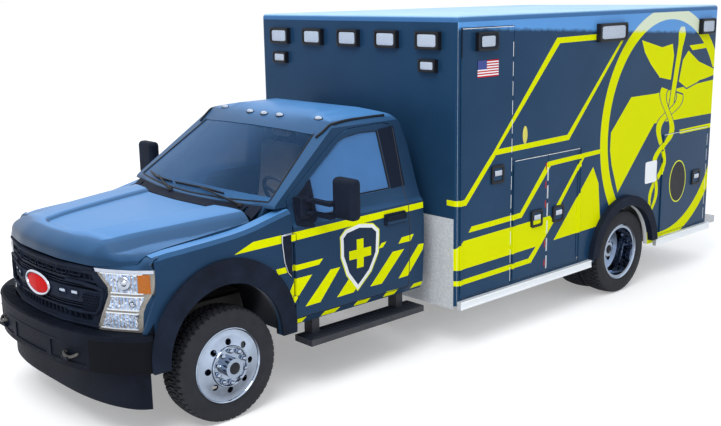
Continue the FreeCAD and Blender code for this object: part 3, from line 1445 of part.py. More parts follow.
rear_step = new_body("rear_step")
block(rear_step, (-d.step_half_width, d.step_half_width), (module_rear, module_rear + d.rear_step_depth),
      (d.step_bottom, d.step_bottom + d.step_thickness))
block(rear_step, (-430, 430), (module_rear + 45, module_rear + d.rear_step_depth - 35),
      (d.step_bottom + 20, d.step_bottom + d.step_thickness), remove=True)

rails = new_body("rub_rails")
rail_span = (half, half + d.rub_rail_proud)
rail_levels = (d.rub_rail_bottom, d.rub_rail_top)
guard_levels = (d.rub_rail_bottom, d.stone_guard_top)
for name, side in SIDES:
    block(rails, rail_span, (module_front + 10, rear_axle - d.rear_flare_radius), rail_levels, side)
    block(rails, rail_span, (rear_axle + d.rear_flare_radius, module_rear), rail_levels, side)
    block(rails, (frame_room, half - d.module_corner), (module_front - d.stone_guard_thickness, module_front),
          guard_levels, side)

lamps = new_body("warning_lights")


light_half = d.light_width / 2
light_levels = (d.light_level - d.light_height / 2, d.light_level + d.light_height / 2)
rear_light_levels = (d.rear_opening_top + 15, d.rear_opening_top + 15 + d.light_height)
low_levels = (2233, 2333)
front_face = module_front
for place_x in (0, d.light_pitch, d.light_pitch * 2):
    for name, side in SIDES:
        if side < 0 and as_size(place_x).value == 0:
            continue
        span = (place_x - light_half, place_x + light_half)
        block(lamps, span, (front_face - d.light_proud, front_face), light_levels, side)
        block(lamps, span, (module_rear, module_rear + d.light_proud), rear_light_levels, side)
for name, side in SIDES:
    middle_x = d.light_pitch * 2
    block(lamps, (middle_x - 90, middle_x + 90), (front_face - d.light_proud, front_face), low_levels, side)
    face = (half, half + d.light_proud)
    block(lamps, face, (module_front + 1800, module_front + 2231), (2387, 2545), side)
    block(lamps, face, (module_front + 3543, module_front + 3805), (2385, 2535), side)
    for low, high in ((1180, 1300), (1330, 1450), (1480, 1600)):
        block(lamps, (760, 900), (module_rear, module_rear + 30), (low, high), side)

# Check the whole document, then write one file per sub-part.

document.recompute()
for item in document.Objects:
    if "Invalid" in item.State or "Error" in item.State:
        raise RuntimeError(f"{item.Label}: {item.State}")
os.makedirs("parts", exist_ok=True)
for part in parts:
    shape = part.Shape
    if shape.isNull() or not shape.isValid() or not shape.Solids:
        raise RuntimeError(f"{part.Label}: no valid solid")
    shape.exportStep(f"parts/{part.Label}.step")
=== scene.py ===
import json
import math
from functools import partial, reduce

import bmesh
import bpy
import numpy as np
from mathutils import Matrix, Vector
from mathutils.bvhtree import BVHTree

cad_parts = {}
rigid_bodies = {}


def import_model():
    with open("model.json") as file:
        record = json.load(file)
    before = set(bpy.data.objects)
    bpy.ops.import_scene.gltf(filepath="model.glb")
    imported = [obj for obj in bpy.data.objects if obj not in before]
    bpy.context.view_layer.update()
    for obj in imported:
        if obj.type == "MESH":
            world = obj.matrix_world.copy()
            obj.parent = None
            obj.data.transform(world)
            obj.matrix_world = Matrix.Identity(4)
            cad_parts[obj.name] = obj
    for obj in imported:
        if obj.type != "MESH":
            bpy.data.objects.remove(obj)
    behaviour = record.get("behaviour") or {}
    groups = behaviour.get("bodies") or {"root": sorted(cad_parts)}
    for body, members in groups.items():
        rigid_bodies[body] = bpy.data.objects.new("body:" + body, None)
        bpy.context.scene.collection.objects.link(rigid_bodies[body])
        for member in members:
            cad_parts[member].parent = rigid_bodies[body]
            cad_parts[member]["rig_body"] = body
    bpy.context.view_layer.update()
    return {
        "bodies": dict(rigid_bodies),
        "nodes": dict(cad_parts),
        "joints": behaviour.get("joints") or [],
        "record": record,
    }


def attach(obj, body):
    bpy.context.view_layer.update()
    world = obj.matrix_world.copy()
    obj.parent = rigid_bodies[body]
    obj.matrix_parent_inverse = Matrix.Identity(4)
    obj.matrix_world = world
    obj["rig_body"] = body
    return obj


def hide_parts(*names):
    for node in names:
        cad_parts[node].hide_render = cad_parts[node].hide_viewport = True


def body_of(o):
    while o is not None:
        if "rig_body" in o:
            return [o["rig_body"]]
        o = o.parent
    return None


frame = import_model()
nodes = frame["nodes"]
scene = bpy.context.scene
print("frame loaded:", len(nodes), "nodes")

# The front wheels stand at frontAxle; aft() turns millimetres behind them into the row frame.
frontAxle, rearAxle, wheelHeight = -2.6225, 1.7575, 0.398
moduleFront, moduleRear, moduleSide = -0.5775, 3.3375, 1.2065
sides = (("left", 1), ("right", -1))


def aft(distance):
    return frontAxle + np.asarray(distance, float) / 1000


# Shapes: each function gives (points, faces) from whole numpy arrays

def gridFaces(rows, columns, wrapRows=False, wrapColumns=False):
    # quads between neighbouring grid points, joined round where a direction wraps
    i = np.arange(rows if wrapRows else rows - 1)[:, None]
    j = np.arange(columns if wrapColumns else columns - 1)[None, :]
    nextI, nextJ = (i + 1) % rows, (j + 1) % columns
    quads = np.stack([i * columns + j, nextI * columns + j, nextI * columns + nextJ, i * columns + nextJ], -1)
    return quads.reshape(-1, 4).tolist()


def merged(shapes):
    # several shapes as one: the points stacked, the face numbers moved on
    points, faces, start = [], [], 0
    for shapePoints, shapeFaces in shapes:
        points.append(np.asarray(shapePoints, float))
        faces += [[corner + start for corner in face] for face in shapeFaces]
        start += len(shapePoints)
    return np.concatenate(points), faces


def roundedBlock(low, high, radius, steps=3):
    # a box whose points are pulled on to a ball of the given radius round the nearest point of the inner box
    low, high = np.asarray(low, float), np.asarray(high, float)
    half, centre = (high - low) / 2, (high + low) / 2
    radius = min(radius, *(half * 0.999))
    bend = np.tan(np.linspace(math.pi / 4, 0, steps + 1)) * radius
    shapes = []
    for axis in range(3):
        u, v = [k for k in range(3) if k != axis]
        lineU = np.concatenate([-(half[u] - radius) - bend, half[u] - radius + bend[::-1]])
        lineV = np.concatenate([-(half[v] - radius) - bend, half[v] - radius + bend[::-1]])
        gridU, gridV = np.meshgrid(lineU, lineV, indexing="ij")
        for side in (-1, 1):
            q = np.zeros((gridU.size, 3))
            q[:, u], q[:, v], q[:, axis] = gridU.ravel(), gridV.ravel(), side * half[axis]
            inner = np.clip(q, -(half - radius), half - radius)
            away = q - inner
            points = centre + inner + away / np.linalg.norm(away, axis=1, keepdims=True) * radius
            quads = gridFaces(len(lineU), len(lineV))
            flip = (side > 0) == (axis == 1)
            shapes.append((points, [face[::-1] for face in quads] if flip else quads))
    return merged(shapes)


def tube(path, radius, sides=10, closed=False):
    # circles of the given radius square to the path, each turned as little as possible from the last
    path = np.asarray(path, float)
    ahead = np.roll(path, -1, 0) - np.roll(path, 1, 0) if closed else np.gradient(path, axis=0)
    ahead /= np.linalg.norm(ahead, axis=1, keepdims=True)
    side = np.cross(ahead[0], (0, 0, 1) if abs(ahead[0][2]) < 0.9 else (0, 1, 0))
    frames = []
    for direction in ahead:
        side = side - direction * side.dot(direction)
        side = side / np.linalg.norm(side)
        frames.append((side, np.cross(direction, side)))
    frames = np.array(frames)
    turn = np.linspace(0, 2 * math.pi, sides, endpoint=False)
    radii = np.broadcast_to(np.asarray(radius, float), (len(path),))[:, None, None]
    ring = (np.cos(turn)[None, :, None] * frames[:, None, 0] + np.sin(turn)[None, :, None]
            * frames[:, None, 1]) * radii
    points = (path[:, None, :] + ring).reshape(-1, 3)
    faces = gridFaces(len(path), sides, closed, True)
    faces = [face[::-1] for face in faces]
    if not closed:
        last = (len(path) - 1) * sides
        faces += [list(range(sides)), list(range(last + sides - 1, last - 1, -1))]
    return points, faces


def lathe(profile, centre, axis="x", steps=48, closed=True, mirror=False):
    # an outline of (along, radius) turned round the axis through centre
    profile = np.asarray(profile, float)
    turn = np.linspace(0, 2 * math.pi, steps, endpoint=False)
    along = np.broadcast_to(profile[:, 0][None], (steps, len(profile)))
    across = np.cos(turn)[:, None] * profile[:, 1][None]
    up = np.sin(turn)[:, None] * profile[:, 1][None]
    order = {"x": (along, across, up), "y": (up, along, across), "z": (across, up, along)}[axis]
    points = np.stack(order, -1).reshape(-1, 3)
    if mirror:
        points = points * (-1, 1, 1)
    faces = gridFaces(steps, len(profile), True, closed)
    return points + np.asarray(centre, float), faces


def slabOf(outline, axis, start, end):
    # a flat outline carried along an axis, with a face at each end
    outline = np.asarray(outline, float)
    u, v = [k for k in range(3) if k != axis]
    count = len(outline)
    points = np.zeros((2 * count, 3))
    points[:count, u], points[:count, v], points[:count, axis] = outline[:, 0], outline[:, 1], start
    points[count:, u], points[count:, v], points[count:, axis] = outline[:, 0], outline[:, 1], end
    j = np.arange(count)
    sides = np.stack([j, (j + 1) % count, (j + 1) % count + count, j + count], -1).tolist()
    return points, sides + [list(range(count))[::-1], list(range(count, 2 * count))]


def signedPower(value, power):
    return np.sign(value) * np.abs(value) ** power


def outlineEllipse(centre, half, count=40, power=2.0):
    # |u/a|^power + |v/b|^power = 1; a power above 2 squares it off
    t = np.linspace(0, 2 * math.pi, count, endpoint=False)
    return np.stack([centre[0] + half[0] * signedPower(np.cos(t), 2 / power),
                     centre[1] + half[1] * signedPower(np.sin(t), 2 / power)], -1)


def mirrored(shape, side):
    points, faces = shape
    return points * (side, 1, 1), faces


def alongLine(line, count):
    # points evenly apart by their share of the line's corners
    line = np.asarray(line, float)
    share = np.linspace(0, len(line) - 1, count)
    return np.stack([np.interp(share, range(len(line)), column) for column in line.T], -1)


def closedSheet(skin, rear):
    # two grids of points as the two faces of one closed plate
    rows, columns = skin.shape[:2]
    count = rows * columns
    quads = gridFaces(rows, columns)
    rim = list(range(columns)) + [r * columns + columns - 1 for r in range(1, rows)]
    rim += list(range(count - 2, count - columns - 1, -1)) + [r * columns for r in range(rows - 2, 0, -1)]
    faces = quads + [[corner + count for corner in face[::-1]] for face in quads]
    faces += [[a, b, b + count, a + count] for a, b in zip(rim, rim[1:] + rim[:1])]
    return np.concatenate([skin.reshape(-1, 3), rear.reshape(-1, 3)]), faces


def placesOf(vertices):
    values = np.zeros(len(vertices) * 3)
    vertices.foreach_get("co", values)
    return values.reshape(-1, 3)


def meshOf(name, shape, weld=True):
    points, faces = shape
    mesh = bpy.data.meshes.new(name)
    mesh.from_pydata(np.asarray(points, float).tolist(), [], faces)
    work = bmesh.new()
    work.from_mesh(mesh)
    if weld:
        bmesh.ops.remove_doubles(work, verts=work.verts, dist=1e-6)
    bmesh.ops.recalc_face_normals(work, faces=work.faces)
    work.to_mesh(mesh)
    work.free()
    return mesh


def linkPiece(mesh, name, body, finish, smooth):
    piece = bpy.data.objects.new(name, mesh)
    scene.collection.objects.link(piece)
    mesh.materials.clear()
    mesh.materials.append(finish)
    if smooth is not None:
        mesh.shade_smooth()
        mesh.set_sharp_from_angle(angle=math.radians(smooth))
    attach(piece, body)
    return piece


def makePiece(name, shape, finish, smooth=35.0, body="vehicle", bevel=None):
    piece = linkPiece(meshOf(name, shape), name, body, finish, smooth)
    if bevel:
        edge = piece.modifiers.new("edge", "BEVEL")
        edge.width, edge.segments, edge.limit_method = bevel, 2, "ANGLE"
        edge.angle_limit = math.radians(40)
        edge.harden_normals = True
    return piece


def bodyOf(node):
    return body_of(nodes[node])[0]


def smoothCopy(node, finish, angle):
    # the CAD node's own shape with its doubles merged and its curves shaded smooth
    mesh = nodes[node].data.copy()
    work = bmesh.new()
    work.from_mesh(mesh)
    bmesh.ops.remove_doubles(work, verts=work.verts, dist=2e-5)
    bmesh.ops.dissolve_degenerate(work, edges=work.edges, dist=1e-5)
    work.to_mesh(mesh)
    work.free()
    if mesh.has_custom_normals:
        mesh.attributes.remove(mesh.attributes["custom_normal"])
    piece = linkPiece(mesh, node + "Skin", bodyOf(node), finish, angle)
    even = piece.modifiers.new("even", "WEIGHTED_NORMAL")
    even.keep_sharp, even.weight = True, 50
    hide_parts(node)
    return piece


def paintNode(node, finish):
    node = nodes[node]
    for holder in node.material_slots:
        holder.material = finish


# Finishes

def newFinish(name):
    material = bpy.data.materials.new(name)
    material.use_nodes = True
    tree = material.node_tree
    place = addNode(tree, "ShaderNodeTexCoord").outputs["Object"]
    return material, tree.nodes["Principled BSDF"], place


def addNode(tree, kind, inputs=None, **settings):
    node = tree.nodes.new(kind)
    for key, value in settings.items():
        setattr(node, key, value)
    for key, value in (inputs or {}).items():
        if isinstance(value, bpy.types.NodeSocket):
            tree.links.new(value, node.inputs[key])
        else:
            node.inputs[key].default_value = value
    return node


def reckon(operation, *values):
    # a Math node in the tree that the values' own sockets belong to
    tree = next(value.id_data for value in values if isinstance(value, bpy.types.NodeSocket))
    return addNode(tree, "ShaderNodeMath", dict(enumerate(values)), operation=operation).outputs[0]


times, plus, minus, moreThan, lessThan, absolute = [
    partial(reckon, operation)
    for operation in ("MULTIPLY", "ADD", "SUBTRACT", "GREATER_THAN", "LESS_THAN", "ABSOLUTE")]


def highest(*values):
    return reduce(partial(reckon, "MAXIMUM"), values)


def lowest(*values):
    return reduce(partial(reckon, "MINIMUM"), values)


def vectorMath(operation, *values):
    node = addNode(values[0].id_data, "ShaderNodeVectorMath", dict(enumerate(values)), operation=operation)
    return node.outputs[1 if operation in ("DOT_PRODUCT", "LENGTH") else 0]


def partsOf(vector):
    return addNode(vector.id_data, "ShaderNodeSeparateXYZ", {0: vector}).outputs


def noiseOf(place, scale, detail, rough):
    return addNode(place.id_data, "ShaderNodeTexNoise", {"Vector": place, "Scale": scale, "Detail": detail,
                                                         "Roughness": rough}).outputs["Fac"]


def spread(value, low, high, toLow, toHigh):
    return addNode(value.id_data, "ShaderNodeMapRange",
                   {0: value, 1: low, 2: high, 3: toLow, 4: toHigh}).outputs[0]


def mixColour(factor, *colours):
    inputs = {6 + k: (*colour, 1) if isinstance(colour, tuple) else colour for k, colour in enumerate(colours)}
    return addNode(factor.id_data, "ShaderNodeMix", {0: factor, **inputs}, data_type="RGBA").outputs[2]


def addBump(shader, height, distance, strength=1.0, under=None):
    inputs = {"Height": height, "Strength": strength, "Distance": distance}
    if under is not None:
        inputs["Normal"] = under
    bump = addNode(shader.id_data, "ShaderNodeBump", inputs).outputs[0]
    shader.id_data.links.new(bump, shader.inputs["Normal"])
    return bump


shaderInputs = {"colour": "Base Color", "metallic": "Metallic", "roughness": "Roughness", "coat": "Coat Weight",
                "coatRough": "Coat Roughness", "sheen": "Sheen Weight", "sheenRough": "Sheen Roughness",
                "ior": "IOR", "specular": "Specular IOR Level", "specularTint": "Specular Tint",
                "alpha": "Alpha", "glow": "Emission Strength", "glowColour": "Emission Color"}


def setShader(shader, **values):
    # each value is a number, a colour or a socket to link
    for key, value in values.items():
        target = shader.inputs[shaderInputs[key]]
        if isinstance(value, bpy.types.NodeSocket):
            shader.id_data.links.new(value, target)
        else:
            target.default_value = (*value, 1) if isinstance(value, tuple) else value


def grainedFinish(name, dark, light, roughness, metallic=0.0, grain=400.0, depth=0.0003, patch=6.0, **extra):
    # two tones mixed by a broad noise, a fine grain for bump, and roughness that wanders a little
    material, shader, place = newFinish(name)
    broad = noiseOf(place, patch, 4, 0.6)
    fine = noiseOf(place, grain, 2, 0.6)
    tone = mixColour(spread(broad, 0.3, 0.7, 0, 1), dark, light)
    setShader(shader, colour=tone, roughness=spread(fine, 0.25, 0.75, roughness * 0.85,
                                                    min(1, roughness * 1.2)))
    addBump(shader, fine, depth)
    setShader(shader, metallic=metallic, **extra)
    return material


# Livery: stripes are convex outlines of (millimetres behind the front axle, height), for both sides alike.
livery = {
    "module": [
        [(2132, 1245), (2450, 1560), (2506, 1552), (2154, 1198)],
        [(2030, 1247), (2136, 1248), (2158, 1198), (2030, 1203)],
        [(2185, 973), (2221, 1018), (2836, 1030), (2857, 985)],
        [(2832, 1030), (3197, 1415), (3240, 1375), (2853, 985)],
        [(3197, 1415), (3964, 1432), (3964, 1392), (3222, 1374)],
        [(3680, 1389), (3732, 1390), (3388, 1010), (3334, 1018)],
        [(2030, 848), (2121, 915), (3242, 938), (3305, 877), (3124, 699), (2030, 684)],
        [(2030, 598), (2960, 612), (2992, 568), (2030, 556)],
        [(2955, 612), (3060, 704), (3124, 700), (2992, 568)],
        [(3304, 709), (3929, 1347), (3948, 1200), (3996, 1056), (4112, 854), (4008, 722)],
        [(4436, 1860), (4127, 1564), (4122, 1405), (4681, 1406), (4850, 1575), (4850, 1860)],
        [(4122, 1406), (4156, 1264), (4272, 988), (4681, 1407)],
        [(4849, 1860), (5960, 1917), (5960, 1573), (4849, 1575)],
        [(5328, 1465), (5960, 1472), (5960, 1428), (5332, 1424)],
        [(5429, 2284), (5723, 2292), (5767, 2246), (5490, 2235)],
    ],
    "moduleLoopOuter": [(3281, 2450), (4345, 2462), (3487, 1570), (2450, 1555)],
    "moduleLoopInner": [(3322, 2403), (4258, 2412), (3463, 1617), (2536, 1600)],
    "ringCentre": (5062, 1512), "ringOuter": (1100, 1151), "ringInner": (982, 1035),
    "wings": [
        [(4576, 2372), (4930, 2290), (4905, 2015), (4746, 2141), (4635, 2256)],
        [(4925, 2290), (5115, 2315), (5150, 2200), (5111, 1972), (4900, 2010)],
        [(5416, 2235), (5622, 2117), (5640, 1920), (5415, 1872), (5262, 1947), (5318, 2150)],
        [(5618, 2119), (5945, 2022), (5945, 1960), (5793, 1944), (5636, 1922)],
        [(5215, 2420), (5250, 2470), (5320, 2470), (5348, 2400), (5310, 2290), (5222, 2290)],
        [(5218, 2300), (5306, 2300), (5176, 1700), (5100, 1700)],
    ],
    "cab": [
        [(70, 1150), (244, 1216), (1893, 1238), (1893, 1178), (596, 1162)],
        [(430, 984), (846, 987), (807, 949), (445, 941)],
        [(1607, 954), (1645, 998), (1777, 1003), (1739, 953)],
        [(1395, 955), (1428, 992), (1480, 997), (1440, 957)],
        [(598, 888), (740, 888), (578, 712), (540, 790)],
        [(914, 890), (1009, 889), (819, 662), (679, 660)],
        [(980, 661), (1145, 664), (1375, 900), (1215, 900)],
        [(1544, 902), (1669, 902), (1437, 669), (1316, 672)],
        [(1828, 909), (1887, 907), (1880, 862), (1718, 674), (1616, 672)],
        [(560, 582), (697, 578), (665, 541), (560, 540)],
        [(877, 584), (1023, 580), (982, 540), (843, 543)],
        [(1196, 586), (1332, 582), (1302, 543), (1166, 546)],
        [(1497, 591), (1622, 587), (1596, 546), (1472, 546)],
        [(1794, 591), (1893, 592), (1893, 556), (1766, 553)],
    ],
    "shield": [(1209, 1184), (1070, 1160), (1012, 1112), (1012, 955), (1068, 810), (1186, 664), (1325, 790),
               (1398, 930), (1410, 1105), (1350, 1160)],
    "blackPanel": [(1604, 1376), (1577, 1828), (1745, 1838), (1758, 1382)],
    # the pale yellow and the sky colour are painted sky reflection along the top band of the module's sides,
    # and the top sky colour is painted sky reflection on the cab's upward faces
    "yellow": (0.73, 0.78, 0.0), "paintedSkyOnYellow": (0.72, 0.80, 0.62),
    "navy": (0.0100, 0.038, 0.086), "navyLight": (0.0150, 0.049, 0.108), "sky": (0.110, 0.320, 0.70),
    "cabNavy": (0.0125, 0.034, 0.072), "cabNavyLight": (0.017, 0.043, 0.090), "paintedSkyOnTops": (0.078, 0.245, 0.54),
}


def planesOf(outline):
    # each edge as (a, b, c) with a*y + b*z + c the distance inside it, in metres
    points = np.asarray(outline, float) / 1000
    points[:, 0] += frontAxle
    step = np.roll(points, -1, 0) - points
    normal = np.stack([step[:, 1], -step[:, 0]], -1) / np.linalg.norm(step, axis=1, keepdims=True)
    offset = -(normal * points).sum(1)
    middle = points.mean(0)
    sign = np.sign(normal @ middle + offset)
    return np.column_stack([normal, offset]) * sign[:, None]


def insideOf(flat, *outlines):
    # the least distance inside any edge of a convex outline, above zero inside it; of several, the highest
    return highest(*(lowest(*(vectorMath("DOT_PRODUCT", flat, tuple(plane)) for plane in planesOf(outline)))
                     for outline in outlines))


def liveryGroup(name, outputs):
    group = bpy.data.node_groups.new(name, "ShaderNodeTree")
    group.interface.new_socket("Place", in_out="INPUT", socket_type="NodeSocketVector")
    for output in outputs:
        group.interface.new_socket(output, in_out="OUTPUT", socket_type="NodeSocketFloat")
    start, end = group.nodes.new("NodeGroupInput"), group.nodes.new("NodeGroupOutput")
    parts = partsOf(start.outputs[0])
    flat = addNode(group, "ShaderNodeCombineXYZ", {0: parts[1], 1: parts[2], 2: 1.0}).outputs[0]
    return group, parts, flat, end


def ellipseField(parts, centre, half):
    # distance from the centre in units of the ellipse, so 1 is its edge
    y = reckon("DIVIDE", minus(parts[1], aft(centre[0])), half[0] / 1000)
    z = reckon("DIVIDE", minus(parts[2], centre[1] / 1000), half[1] / 1000)
    return reckon("SQRT", plus(times(y, y), times(z, z)))


def snakeField(along, across, phase):
    # a band that swings from side to side, wider and further towards the top
    swing = times(reckon("SINE", plus(times(along, 11.5), phase)), spread(along, 0, 1, 0.035, 0.165))
    gap = absolute(minus(across, swing))
    ends = lowest(times(along, 1.1), times(minus(1.0, along), 1.1))
    return lowest(minus(spread(along, 0, 1, 0.020, 0.058), gap), ends)


def buildModuleLivery():
    tree, parts, flat, end = liveryGroup("moduleLivery", ["Yellow"])
    loop = lowest(insideOf(flat, livery["moduleLoopOuter"]),
                  times(insideOf(flat, livery["moduleLoopInner"]), -1.0))
    ring = lowest(minus(1.0, ellipseField(parts, livery["ringCentre"], livery["ringOuter"])),
                  minus(ellipseField(parts, livery["ringCentre"], livery["ringInner"]), 1.0))
    stripes = highest(insideOf(flat, *livery["module"]), loop, ring)
    wings = insideOf(flat, *livery["wings"])
    # the twined bands run along a line that leans back, from near the wheel to under the wings
    foot, lean = (4842, 690), (0.2575, 0.9663)
    length = 1.21
    y = minus(parts[1], aft(foot[0]))
    z = minus(parts[2], foot[1] / 1000)
    along = reckon("DIVIDE", plus(times(y, lean[0]), times(z, lean[1])), length)
    across = minus(times(y, lean[1]), times(z, lean[0]))
    front, behind = snakeField(along, across, 0.0), snakeField(along, across, math.pi)
    edge = -0.014

    def over(top, under):
        # the top figure with a dark line round it, over what lies under
        dark = moreThan(top, edge)
        fill = moreThan(top, 0.0)
        return highest(fill, times(under, minus(1.0, dark)))

    yellow = moreThan(stripes, 0.0)
    for figure in (wings, behind, front):
        yellow = over(figure, yellow)
    tree.links.new(yellow, end.inputs[0])
    return tree


def buildCabLivery():
    tree, parts, flat, end = liveryGroup("cabLivery", ["Yellow", "White", "Shield", "Panel"])
    stripes = moreThan(insideOf(flat, *livery["cab"]), 0.0)
    shield = insideOf(flat, livery["shield"])
    inShield = moreThan(shield, 0.0)
    inRim = moreThan(shield, 0.008)
    inField = moreThan(shield, 0.034)
    y = absolute(minus(parts[1], aft(1208)))
    z = absolute(minus(parts[2], 0.955))
    upright = times(lessThan(y, 0.034), lessThan(z, 0.110))
    level = times(lessThan(z, 0.034), lessThan(y, 0.110))
    cross = highest(upright, level)
    band = times(inRim, minus(1.0, inField))
    rim = times(inShield, minus(1.0, inRim))
    yellow = highest(rim, times(stripes, minus(1.0, inShield)))
    yellow = highest(yellow, times(cross, inField))
    panel = moreThan(insideOf(flat, livery["blackPanel"]), 0.0)
    for index, value in enumerate((yellow, band, inShield, panel)):
        tree.links.new(value, end.inputs[index])
    return tree


paint = {"roughness": 0.34, "coat": 0.02, "coatRough": 0.05, "specular": 0.22, "mirrorTint": (0.12, 0.42, 1.0),
         "lining": (0.105, 0.110, 0.120), "white": (0.80, 0.82, 0.84)}


def paintShader(shader, place):
    # flakes and a faint orange-peel ripple, shared by every painted panel
    flakes = noiseOf(place, 2600, 1, 0.5)
    peel = noiseOf(place, 90, 2, 0.5)
    ripple = addBump(shader, peel, 0.0004, 0.10)
    addBump(shader, flakes, 0.00012, 0.12, ripple)
    setShader(shader, coat=paint["coat"], coatRough=paint["coatRough"], specularTint=paint["mirrorTint"],
              metallic=0.0)
    return spread(noiseOf(place, 1.6, 4, 0.6), 0.3, 0.7, 0, 1)


def paintedSkyShare(tree, low, high):
    # share of painted sky reflection by the face's normal: 0 on an upright face; rises slowly with its lean,
    # then fast where its normal's height passes low to high
    z = partsOf(addNode(tree, "ShaderNodeNewGeometry").outputs["Normal"])[2]
    lean = times(reckon("POWER", highest(z, 0.0), 2.4), 0.40)
    level = addNode(tree, "ShaderNodeMapRange", {0: z, 1: low, 2: high, 3: 0.0, 4: 0.55},
                    interpolation_type="SMOOTHSTEP")
    return plus(lean, level.outputs[0])


def facingIn(place, centre):
    # 1 on faces that look towards the middle of the cab or module
    normal = addNode(place.id_data, "ShaderNodeTexCoord").outputs["Normal"]
    return lessThan(vectorMath("DOT_PRODUCT", normal, vectorMath("SUBTRACT", place, centre)), 0.0)


cabTone = {"middle": (0.0, -1.5, 1.25), "field": (0.012, 0.022, 0.045), "rim": (0.78, 0.80, 0.82),
           "panel": (0.012, 0.017, 0.032), "well": (0.0055, 0.006, 0.008), "wellReach": 0.68, "wellSide": 0.955}


def cabFinish(name, lined):
    # cab and hood; a lined part has pale inner faces; faces that look up take a painted sky reflection, which
    # on the hood is weaker outboard of its crease, so the hood is deeper in tone there
    material, shader, place = newFinish(name)
    tree = shader.id_data
    tone = paintShader(shader, place)
    masks = addNode(tree, "ShaderNodeGroup", node_tree=cabLiveryTree)
    tree.links.new(place, masks.inputs[0])
    x = partsOf(place)[0]
    outside = moreThan(absolute(x), 0.90)
    inside = facingIn(place, cabTone["middle"]) if lined else None
    shown = times(outside, minus(1.0, inside)) if lined else outside
    yellow = times(masks.outputs[0], shown)
    white = times(masks.outputs[1], shown)
    field = times(masks.outputs[2], shown)
    panel = times(moreThan(masks.outputs[3], 0.5), moreThan(absolute(x), 0.74))
    base = mixColour(tone, livery["cabNavy"], livery["cabNavyLight"])
    # painted sky reflection: the paint is mixed towards a pale sky blue on faces that look up
    rise = paintedSkyShare(tree, 0.84, 1.0) if lined else paintedSkyShare(tree, 0.945, 0.997)
    # on the hood the painted sky reflection fades outboard of its crease
    if not lined:
        y = partsOf(place)[1]
        outboard = minus(absolute(x), times(y, 0.185))
        rise = times(rise, spread(outboard, 1.170, 1.215, 1.0, 0.55))
    base = mixColour(rise, base, livery["paintedSkyOnTops"])
    base = mixColour(field, base, cabTone["field"])
    base = mixColour(yellow, base, livery["yellow"])
    base = mixColour(white, base, cabTone["rim"])
    base = mixColour(panel, base, cabTone["panel"])
    if lined:
        base = mixColour(inside, base, paint["lining"])
    # the wheel well is near black: near the front axle and inboard of the wing's skin
    hub = vectorMath("MULTIPLY", vectorMath("SUBTRACT", place, (0.0, frontAxle, wheelHeight)), (0.0, 1.0, 1.0))
    well = times(lessThan(vectorMath("LENGTH", hub), cabTone["wellReach"]),
                 lessThan(absolute(x), cabTone["wellSide"]))
    base = mixColour(well, base, cabTone["well"])
    setShader(shader, colour=base)
    film = highest(yellow, white, panel, *([inside] if lined else []))
    setShader(shader, roughness=spread(film, 0, 1, paint["roughness"], 0.55),
              specular=spread(film, 0, 1, paint["specular"], 0.02))
    return material


def moduleFinish():
    material, shader, place = newFinish("modulePaint")
    tree = shader.id_data
    tone = paintShader(shader, place)
    masks = addNode(tree, "ShaderNodeGroup", node_tree=moduleLiveryTree)
    tree.links.new(place, masks.inputs[0])
    parts = partsOf(place)
    x = absolute(parts[0])
    y, z = parts[1], parts[2]
    side = moreThan(x, 1.199)
    front = lessThan(y, moduleFront + 0.012)
    rear = moreThan(y, moduleRear - 0.012)
    wrap = times(front, moreThan(x, 1.10))
    yellow = times(masks.outputs[0], highest(side, wrap))
    # slanted bars across the back, a mirror image about the middle
    bars = reckon("FRACT", times(minus(z, times(x, 0.9)), 3.4))
    bars = moreThan(bars, 0.5)
    belt = times(moreThan(z, 0.93), lessThan(z, 1.50))
    back = times(times(bars, belt), rear)
    yellow = highest(yellow, times(back, lessThan(side, 0.5)))
    outside = highest(side, highest(front, rear))
    edgeNoise = spread(noiseOf(place, 14, 3, 0.6), 0, 1, -0.022, 0.022)
    # a painted sky reflection: a pale blue band along the top of each side, which also pales the yellow there,
    # its lower edge falling towards the rear: z = 2.546 - 0.0476 y
    edge = plus(z, times(y, 0.0476))
    high = spread(plus(edge, edgeNoise), 2.531, 2.561, 0, 1)
    high = times(high, side)
    base = mixColour(tone, livery["navy"], livery["navyLight"])
    base = mixColour(high, base, livery["sky"])
    band = mixColour(high, livery["yellow"], livery["paintedSkyOnYellow"])
    base = mixColour(yellow, base, band)
    base = mixColour(outside, paint["white"], base)
    # the lamp housings that stand proud of the skin are black
    proud = times(moreThan(x, 1.2125), moreThan(z, 2.35))
    base = mixColour(proud, base, (0.008, 0.009, 0.012))
    setShader(shader, colour=base)
    film = highest(yellow, minus(1.0, outside))
    setShader(shader, roughness=spread(film, 0, 1, paint["roughness"], 0.5),
              specular=spread(film, 0, 1, paint["specular"], 0.02))
    return material


def speckledFinish(name, dark, light, speck, corner=None):
    # moulded grain: fine bright specks over two near-black tones; beyond corner it is plain and darker
    material, shader, place = newFinish(name)
    broad = noiseOf(place, 5, 4, 0.6)
    fine = noiseOf(place, 330, 2, 0.6)
    tone = mixColour(spread(broad, 0.3, 0.7, 0, 1), dark, light)
    tone = mixColour(spread(fine, 0.60, 0.72, 0, 0.85), tone, speck)
    grain = fine
    if corner is not None:
        parts = partsOf(place)
        plain = times(moreThan(absolute(parts[0]), corner),
                      times(moreThan(parts[2], 0.501), lessThan(parts[2], 0.715)))
        tone = mixColour(plain, tone, (0.0050, 0.0056, 0.0080))
        grain = times(fine, minus(1.0, plain))
    setShader(shader, colour=tone, roughness=spread(fine, 0.25, 0.75, 0.45, 0.65))
    addBump(shader, grain, 0.0012, 0.8)
    setShader(shader, specular=0.05)
    return material


